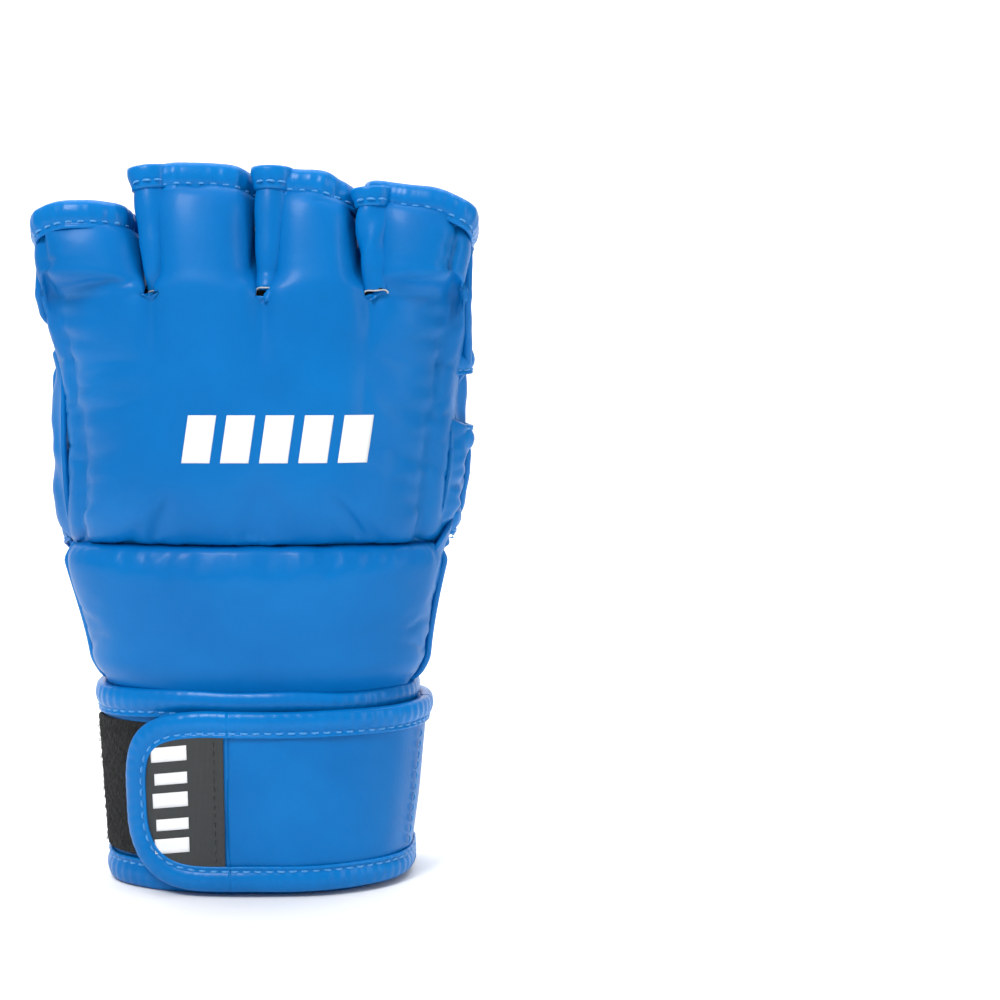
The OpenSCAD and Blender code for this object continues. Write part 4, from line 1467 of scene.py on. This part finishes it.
    def _band(self) -> None:
        """Band across the palm below the fingers, with both edges bound."""
        form = self.form
        top, bottom = self._points(BAND_TOP), self._points(BAND_BOTTOM)
        u = np.linspace(-4, 178, 130)
        high = curve(top, u) + 12 * smooth((u - 130) / 22)
        low = curve(bottom, u)
        z = low + (high - low) * np.linspace(0, 1, 30)[:, None]
        u = np.broadcast_to(u, z.shape)
        tuck = 5.0 * smooth((u - 134) / 12) * smooth((z - low - 5) / 4) + 3.2 * smooth((8 - u) / 10)
        lift = 0.9 * ripple(u, z, 111, 24.0) + 0.4 * ripple(u, z, 112, 9.0)
        lift = lift + pucker(np.minimum(high - z, z - low), u * 1.1, 113, 0.4, 4.0, 6.5)
        grid = form.hand(u, z, 0.5 + tuck - lift * 0.8)
        self.bench.piece("band_panel", sheet(grid, 1.6), "panel", replaces=["palm_band"])
        ends = [(134.5, form.root_h + 9.5), (136.5, form.root_h + 14)]
        trace = drawn(form.hand, [(-14, top[0][1] - 1), *top, *ends], 0.5).sunk(7.0, 7.0, 12.0)
        self._bind("band_top_edge", "palm_band_top_binding", trace, -1, 114, Tape(7.2))
        trace = drawn(form.hand, [(-14, bottom[0][1]), *bottom], 0.5).sunk(7.0, 6.0, 12.0)
        self._bind("band_bottom_edge", "palm_band_bottom_binding", trace, 1, 115, Tape(7.2))

    def _fold(self) -> None:
        """Stitched fold that crosses the foot of the little-finger tube."""
        form = self.form
        places = [(178, 199.0), (140, 194.5), (100, 187.0), (50, 178.0)]
        path = drawn(lambda a, b: form.tube(3, a, b, -1.8), places).sunk(3.5, 3.5)
        share = np.linspace(0, 1, len(path.points))
        size = 0.75 + 0.25 * np.sin(np.pi * share)
        size = size * (1 + 0.06 * ripple(share * 40, share, 121, 8.0))
        section = oval(10.0, 3.8, 18) * size[:, None, None]
        self.bench.piece("little_fold", sweep(path.points, path.side, path.out, section, False), "panel")
        row = path.moved(-1.8, 1.75)
        self.bench.piece("little_fold_stitches", stitches(row, Stitch.PANEL, seed=122), "thread")


# ---------------------------------------------------------------- cuff and strap
class Cuff:
    """Elastic-free leather cuff with bound edges and the loop patch on its back."""

    def __init__(self, form: GloveForm, bench: Bench) -> None:
        """Works from the glove's form."""
        self.form = form
        self.bench = bench

    def build(self) -> None:
        """Makes the cuff."""
        form = self.form
        count = 260
        u = np.linspace(0, 360, count, endpoint=False)
        u, z = np.meshgrid(u, np.linspace(2.0, form.cuff_h - 2.0, 40))
        lift = 0.35 * ripple(u, z, 131, 40.0)
        band = sheet(form.cuff(u, z, 0.4 - lift), 1.6, wrap=True)
        self.bench.piece("cuff_skin", band, "panel", replaces=["cuff_band"])
        lining = sheet(form.cuff(u[::2], z[::2], 2.6 + 0.5 * lift[::2]), 0.9, wrap=True)
        self.bench.piece("cuff_knit", lining, "lining", replaces=["cuff_lining"])
        sway = lambda a: 0.35 * np.sin(np.radians(a) * 3 + 1) + 0.2 * np.sin(np.radians(a) * 8)
        top = around(form.cuff, lambda a: form.cuff_h - 0.9 + sway(a), count, 0.0)
        tape, thread = Tape(8.4, 1.05, 3.4).lay(top, -1, True, 132)
        self.bench.piece("cuff_top_edge", tape, "binding", replaces=["cuff_top_binding"])
        self.bench.piece("cuff_top_edge_stitches", thread, "thread")
        foot = around(form.cuff, lambda a: 0.9 + 0 * a, count, 0.0)
        tape, thread = Tape(8.4, 1.05, 3.4).lay(foot, 1, True, 133)
        self.bench.piece("cuff_foot_edge", tape, "binding", replaces=["cuff_bottom_binding"])
        self.bench.piece("cuff_foot_edge_stitches", thread, "thread")
        self._loop()

    def _loop(self) -> None:
        """Loop patch with its matted pile."""
        form = self.form
        u, z = np.meshgrid(np.linspace(187, 254, 120), np.linspace(10.5, form.cuff_h - 10.5, 62))
        beside = np.minimum((u - 187) * 1.1, np.minimum(z - 10.5, form.cuff_h - 10.5 - z))
        pile = 0.25 * ripple(u * 1.2, z, 141, 2.6) + 0.15 * ripple(u * 1.2, z, 142, 1.3)
        patch = sheet(form.cuff(u, z, -0.9 - pile + roll_in(beside, 1.2, 0.8)), 1.1)
        self.bench.piece("loop_pile", patch, "loop", replaces=["loop_patch"])
        rng = random.Random(143)
        hairs = []
        for _ in range(900):
            a, h = rng.uniform(187.5, 253.5), rng.uniform(11, form.cuff_h - 11)
            spot = Trace.on(lambda p, q: form.cuff(p, q, -0.9), np.array([a, a + 0.1]), np.array([h, h]))
            n, right = spot.out[0], unit(np.cross([0.0, 0.0, 1.0], spot.out[0]))
            lean = right * rng.uniform(-1, 1) + np.array([0, 0, 1.0]) * rng.uniform(-1, 1)
            t = np.linspace(0, 1, 4)[:, None]
            path = spot.points[0] + n * (0.75 * np.sin(t * 2.6)) + lean * t * 0.9
            hairs.append(sweep(path, np.tile(right, (4, 1)), np.tile(n, (4, 1)), oval(0.16, 0.16, 3), False))
        self.bench.piece("loop_hairs", Solid.join(hairs), "loop")


@dataclass(frozen=True)
class StrapLine:
    """Where the strap and its tab lie on the cuff."""

    low: float = 2.5
    high: float = 57.5
    seam: float = 42.0
    hinge: float = -7.0
    tab: float = -96.0
    tip: float = 35.5
    face: float = 5.0
    round: float = 2.8

    @property
    def middle(self) -> float:
        """Height of the strap's centre line."""
        return (self.low + self.high) / 2

    def tip_at(self, z: Array, inset: float = 0.0) -> Array:
        """Angle spanned by the tab at a height, with its outline drawn in by an inset in millimetres."""
        half = (self.high - self.low) / 2 - inset
        bow = 1 - np.clip(np.abs(z - self.middle) / half, 0, 1) ** self.round
        return (self.tip - inset * 0.95) * bow ** (1 / self.round)

    def outline(self, count: int) -> tuple[Array, Array]:
        """Angle and height round the tab, from its upper corner over the tip to its lower one."""
        a = np.radians(np.linspace(90, -90, count))
        angle = self.tab - self.tip * np.abs(np.cos(a)) ** (2 / self.round)
        return angle, self.middle + (self.high - self.low) / 2 * power(np.sin(a), 2 / self.round)


STRAP_TAPE = Tape(7.4, 1.05, 1.8, eased=False)
BARS, BAR_STEP = 5, 7.2


class Strap:
    """Wrist strap: sewn root, strap, peeling tab with its label and hook patch."""

    def __init__(self, form: GloveForm, bench: Bench, line: StrapLine) -> None:
        """Works from the glove's form and the strap's place."""
        self.form = form
        self.bench = bench
        self.line = line

    def build(self) -> None:
        """Makes the strap from its root to its tab."""
        self._root()
        self._strap()
        self._tab()
        self._label()

    def _at(self, depth: float) -> Surface:
        """The cuff's surface at a fixed height over it."""
        return lambda u, z: self.form.cuff(u, z, -depth)

    def _swell(self, u: Array, z: Array, seed: int, height: float, uneven: float, size: float) -> Array:
        """Height of the leather over its edges, highest along the strap's middle."""
        share = (z - self.line.low) / (self.line.high - self.line.low)
        return height * np.sin(np.pi * share) + uneven * ripple(u, z, seed, size)

    def _upright(self, name: str, angle: float, over: float, inset: float, seed: int,
                 slot: str = "thread", stitch: Stitch = Stitch.PANEL, **place: str) -> bpy.types.Object:
        """Upright row of stitches across the strap.

        Args:
            name: Name of the piece.
            angle: Angle at which the row stands.
            over: Height of the row over the strap's face.
            inset: Distance of the row's ends from the strap's edges.
            seed: Seed of the stitches.
            slot: Slot of the row.
            stitch: Kind of stitch.
            place: Body that the row rides on, where it isn't the glove.
        """
        line = self.line
        heights = (line.low + inset, line.middle, line.high - inset)
        seam = drawn(self._at(line.face + over), [(angle, z) for z in heights])
        return self.bench.piece(name, stitches(seam, stitch, seed=seed), slot, **place)

    def _bend(self, *angles: float) -> list[Array]:
        """Places in metres along the strap's middle."""
        line = self.line
        return [self.form.cuff(np.array(u), np.array(line.middle), -line.face) * MM for u in angles]

    def _panel(self, low: float, high: float, seed: int, thick: float = 2.0) -> Solid:
        """Leather of the strap between two angles."""
        line = self.line
        count = max(12, int((high - low) * 1.1))
        u, z = np.meshgrid(np.linspace(low, high, count), np.linspace(line.low + 0.6, line.high - 0.6, 40))
        swell = self._swell(u, z, seed, 0.5, 0.25, 30.0)
        return sheet(self.form.cuff(u, z, -line.face - swell + 0.4), thick)

    def _edges(self, name: str, low: float, high: float, seed: int) -> list[bpy.types.Object]:
        """Upper and lower bindings of a stretch of the strap, riding on nothing yet."""
        line = self.line
        made = []
        for row, (at, inward) in enumerate(((line.high, -1), (line.low, 1))):
            trace = drawn(self._at(line.face), [(low, at), ((low + high) / 2, at), (high, at)], 0.0)
            tape, thread = STRAP_TAPE.lay(trace, inward, False, seed + row)
            made.append(self.bench.piece(f"{name}_edge_{row}", tape, "binding", body=""))
            made.append(self.bench.piece(f"{name}_edge_{row}_stitches", thread, "thread", body=""))
        return made

    def _root(self) -> None:
        """Root of the strap, sewn to the cuff."""
        line = self.line
        base = self._panel(line.hinge + 3, line.seam, 151, 4.6)
        self.bench.piece("strap_root_skin", base, "panel", replaces=["strap_root"])
        for obj in self._edges("strap_root", line.hinge + 3, line.seam, 152):
            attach(obj, "glove")
        for inset in (2.2, 5.6):
            self._upright(f"strap_root_seam_{int(inset)}", line.seam - inset, 0.35, 9, 154)

    def _strap(self) -> None:
        """The strap over the little side and the back."""
        line = self.line
        low, high = line.tab + 0.2, line.hinge + 4
        skin = self.bench.piece("strap_skin", self._panel(low, high, 161), "panel", body="",
                                replaces=["strap", "strap_binding"])
        edges = self._edges("strap_skin", low, high, 162)
        seam = self._upright("strap_skin_seam", line.hinge - 9, 0.65, 8.5, 165, body="")
        start, end = self._bend(line.hinge + 4.5, line.hinge - 4.5)
        for obj in (skin, *edges, seam):
            tuple(start)
            tuple(end)
            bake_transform(obj)

    def _patch_grid(self, inset: float, start: float, rows: int = 60, cols: int = 44) -> tuple[Array, Array]:
        """Angles and heights over the tab inside its outline, from the line where it joins the strap."""
        line = self.line
        half = (line.high - line.low) / 2 - inset
        z = line.middle + half * 0.992 * np.sin(np.linspace(-np.pi / 2, np.pi / 2, rows))[:, None]
        share = np.linspace(1, 0, cols)
        angle = line.tab + start - (line.tip_at(z, inset) + start) * share
        return angle, np.broadcast_to(z, angle.shape)

    def _tab(self) -> None:
        """The rounded tab that presses onto the loop patch."""
        line, form = self.line, self.form
        angle, z = self._patch_grid(1.0, 0.4)
        swell = self._swell(angle, z, 171, 0.4, 0.2, 26.0)
        grid = form.cuff(angle, z, -line.face - swell + 0.4)
        skin = self.bench.piece("tab_skin", sheet(grid, 2.0), "panel", body="", replaces=["strap_tab"])
        angle, z = line.outline(240)
        angle = np.concatenate([[line.tab + 0.8], angle, [line.tab + 0.8]])
        z = np.concatenate([[line.high], z, [line.low]])
        trace = drawn_even(Trace.on(self._at(line.face), angle, z), 1.1)
        tape, thread = STRAP_TAPE.lay(trace, 1, False, 172)
        edge = self.bench.piece("tab_edge", tape, "binding", body="", replaces=["tab_binding"])
        seams = self.bench.piece("tab_edge_stitches", thread, "thread", body="")
        angle, z = self._patch_grid(5.5, -2.0, 30, 24)
        self.bench.piece("hook_pile", sheet(form.cuff(angle, z, -2.4), 0.8), "loop", body="tab",
                         replaces=["hook_patch"])
        start, end = self._bend(line.tab + 2.5, line.tab - 3.5)
        for obj in (skin, edge, seams):
            tuple(start)
            tuple(end)
            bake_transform(obj)

    def _label(self) -> None:
        """Dark satin label inside the tab, with a plain printed device."""
        line, form = self.line, self.form
        angle, z = self._patch_grid(6.6, -0.6)
        grid = form.cuff(angle, z, -line.face - 0.75)
        self.bench.piece("tab_label_cloth", sheet(grid, 0.5), "label", body="tab", replaces=["tab_label"])
        self._upright("tab_label_stitches", line.tab - 3.2, 0.8, 8, 181, "label", Stitch.FINE, body="tab")
        for row in range(BARS):
            short = row % 2
            u, z = np.meshgrid(np.linspace(-119.5 + short, -107.0, 12), np.linspace(0, 4.6 - short, 5))
            slant = (u + 111) * 0.12
            mark = form.cuff(u, 14.0 + BAR_STEP * row + z + slant, -line.face - 0.92)
            self.bench.piece(f"tab_label_mark_{row}", sheet(mark, 0.15), "print", body="tab")


def drawn_even(trace: Trace, step: float) -> Trace:
    """The same line with evenly spaced points."""
    run = running(trace.points)
    at = np.linspace(0, run[-1], int(run[-1] / step))
    read = lambda values: np.stack([np.interp(at, run, values[:, k]) for k in range(3)], -1)
    points, out = read(trace.points), unit(read(trace.out))
    return Trace(points, unit(np.cross(out, np.gradient(points, axis=0))), out)


# ---------------------------------------------------------------- studio
class Studio:
    """Pale floor, soft lights and the camera."""

    AIM = Vector((0.076, 0.0, 0.122))
    EYE = Vector((0.076, -0.672, 0.165))
    LENS_MM, SENSOR_MM = 75.0, 36.0
    PAPER_HALF_WIDTH_M = 2.4
    SURROUND = 0.34

    def build(self) -> None:
        """Sets up the stage."""
        self._floor()
        self._lights()
        self._camera()

    def _floor(self) -> None:
        """White sweep of paper under and behind the glove."""
        profile = [(-1.6, 0.0), (0.5, 0.0), (0.75, 0.02), (0.95, 0.1), (1.08, 0.28), (1.12, 0.6), (1.12, 2.2)]
        half = self.PAPER_HALF_WIDTH_M
        verts = [(x, y, z) for x in (-half, half) for y, z in profile]
        count = len(profile)
        faces = [(i, i + 1, count + i + 1, count + i) for i in range(count - 1)]
        mesh = bpy.data.meshes.new("paper")
        mesh.from_pydata(verts, [], faces)
        for face in mesh.polygons:
            face.use_smooth = True
        material, n, shader = new_material("Paper")
        fibre = n.add("ShaderNodeTexNoise", {"Scale": 90.0, "Detail": 4.0}).outputs["Fac"]
        n.feed(shader.inputs["Base Color"], n.blend(fibre, (0.86, 0.86, 0.86), (0.9, 0.9, 0.9)))
        shader.inputs["Roughness"].default_value = 0.7
        shader.inputs["Specular IOR Level"].default_value = 0.15
        mesh.materials.append(material)
        floor = bpy.data.objects.new("floor", mesh)
        bpy.context.scene.collection.objects.link(floor)

    def _lights(self) -> None:
        """Soft boxes above, left and right, and a bright even surround."""
        world = bpy.data.worlds.new("Surround")
        bpy.context.scene.world = world
        world.use_nodes = True
        back = world.node_tree.nodes["Background"]
        back.inputs["Color"].default_value = (1.0, 1.0, 1.0, 1.0)
        back.inputs["Strength"].default_value = self.SURROUND
        glove, paper = Vector((0.0, 0.0, 0.12)), Vector((0.0, 1.1, 0.5))
        # Place, size, power and aim of each soft box.
        boxes = {"key": ((-0.4, -0.85, 1.1), (0.4, 0.5), 13.5, glove),
                 "fill": ((0.95, -0.5, 0.45), (0.3, 0.9), 3.0, glove),
                 "top": ((0.0, 0.1, 1.3), (1.2, 0.6), 6.5, glove),
                 "palm": ((-0.5, 0.8, 0.9), (0.6, 0.6), 1.6, glove),
                 "paper": ((0.0, 0.5, 1.7), (2.4, 0.4), 24.0, paper)}
        for name, (place, size, power_w, aim) in boxes.items():
            light = bpy.data.lights.new(name, "AREA")
            light.shape = "RECTANGLE"
            light.size, light.size_y = size
            light.energy = power_w
            obj = bpy.data.objects.new(name, light)
            obj.location = place
            obj.rotation_euler = (aim - Vector(place)).to_track_quat("-Z", "Y").to_euler()
            bpy.context.scene.collection.objects.link(obj)

    def _camera(self) -> None:
        """Camera a little above the glove, looking at its padded back."""
        data = bpy.data.cameras.new("camera")
        data.lens = self.LENS_MM
        data.sensor_width = self.SENSOR_MM
        data.dof.use_dof = False
        camera = bpy.data.objects.new("camera", data)
        camera.location = self.EYE
        camera.rotation_euler = (self.AIM - self.EYE).to_track_quat("-Z", "Y").to_euler()
        bpy.context.scene.collection.objects.link(camera)
        scene = bpy.context.scene
        scene.camera = camera
        scene.view_settings.view_transform = "Standard"


def main() -> None:
    """Builds the whole scene around the frame."""
    logging.basicConfig(level=logging.INFO, format="%(name)s: %(message)s")
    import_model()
    form = GloveForm.from_frame()
    bench = Bench(Kit())
    for part in (KnucklePad(form, bench), BackPad(form, bench), SideEdges(form, bench), Fingers(form, bench),
                 Palm(form, bench), Cuff(form, bench), Strap(form, bench, StrapLine())):
        part.build()
    Studio().build()


if __name__ == "__main__":
    main()
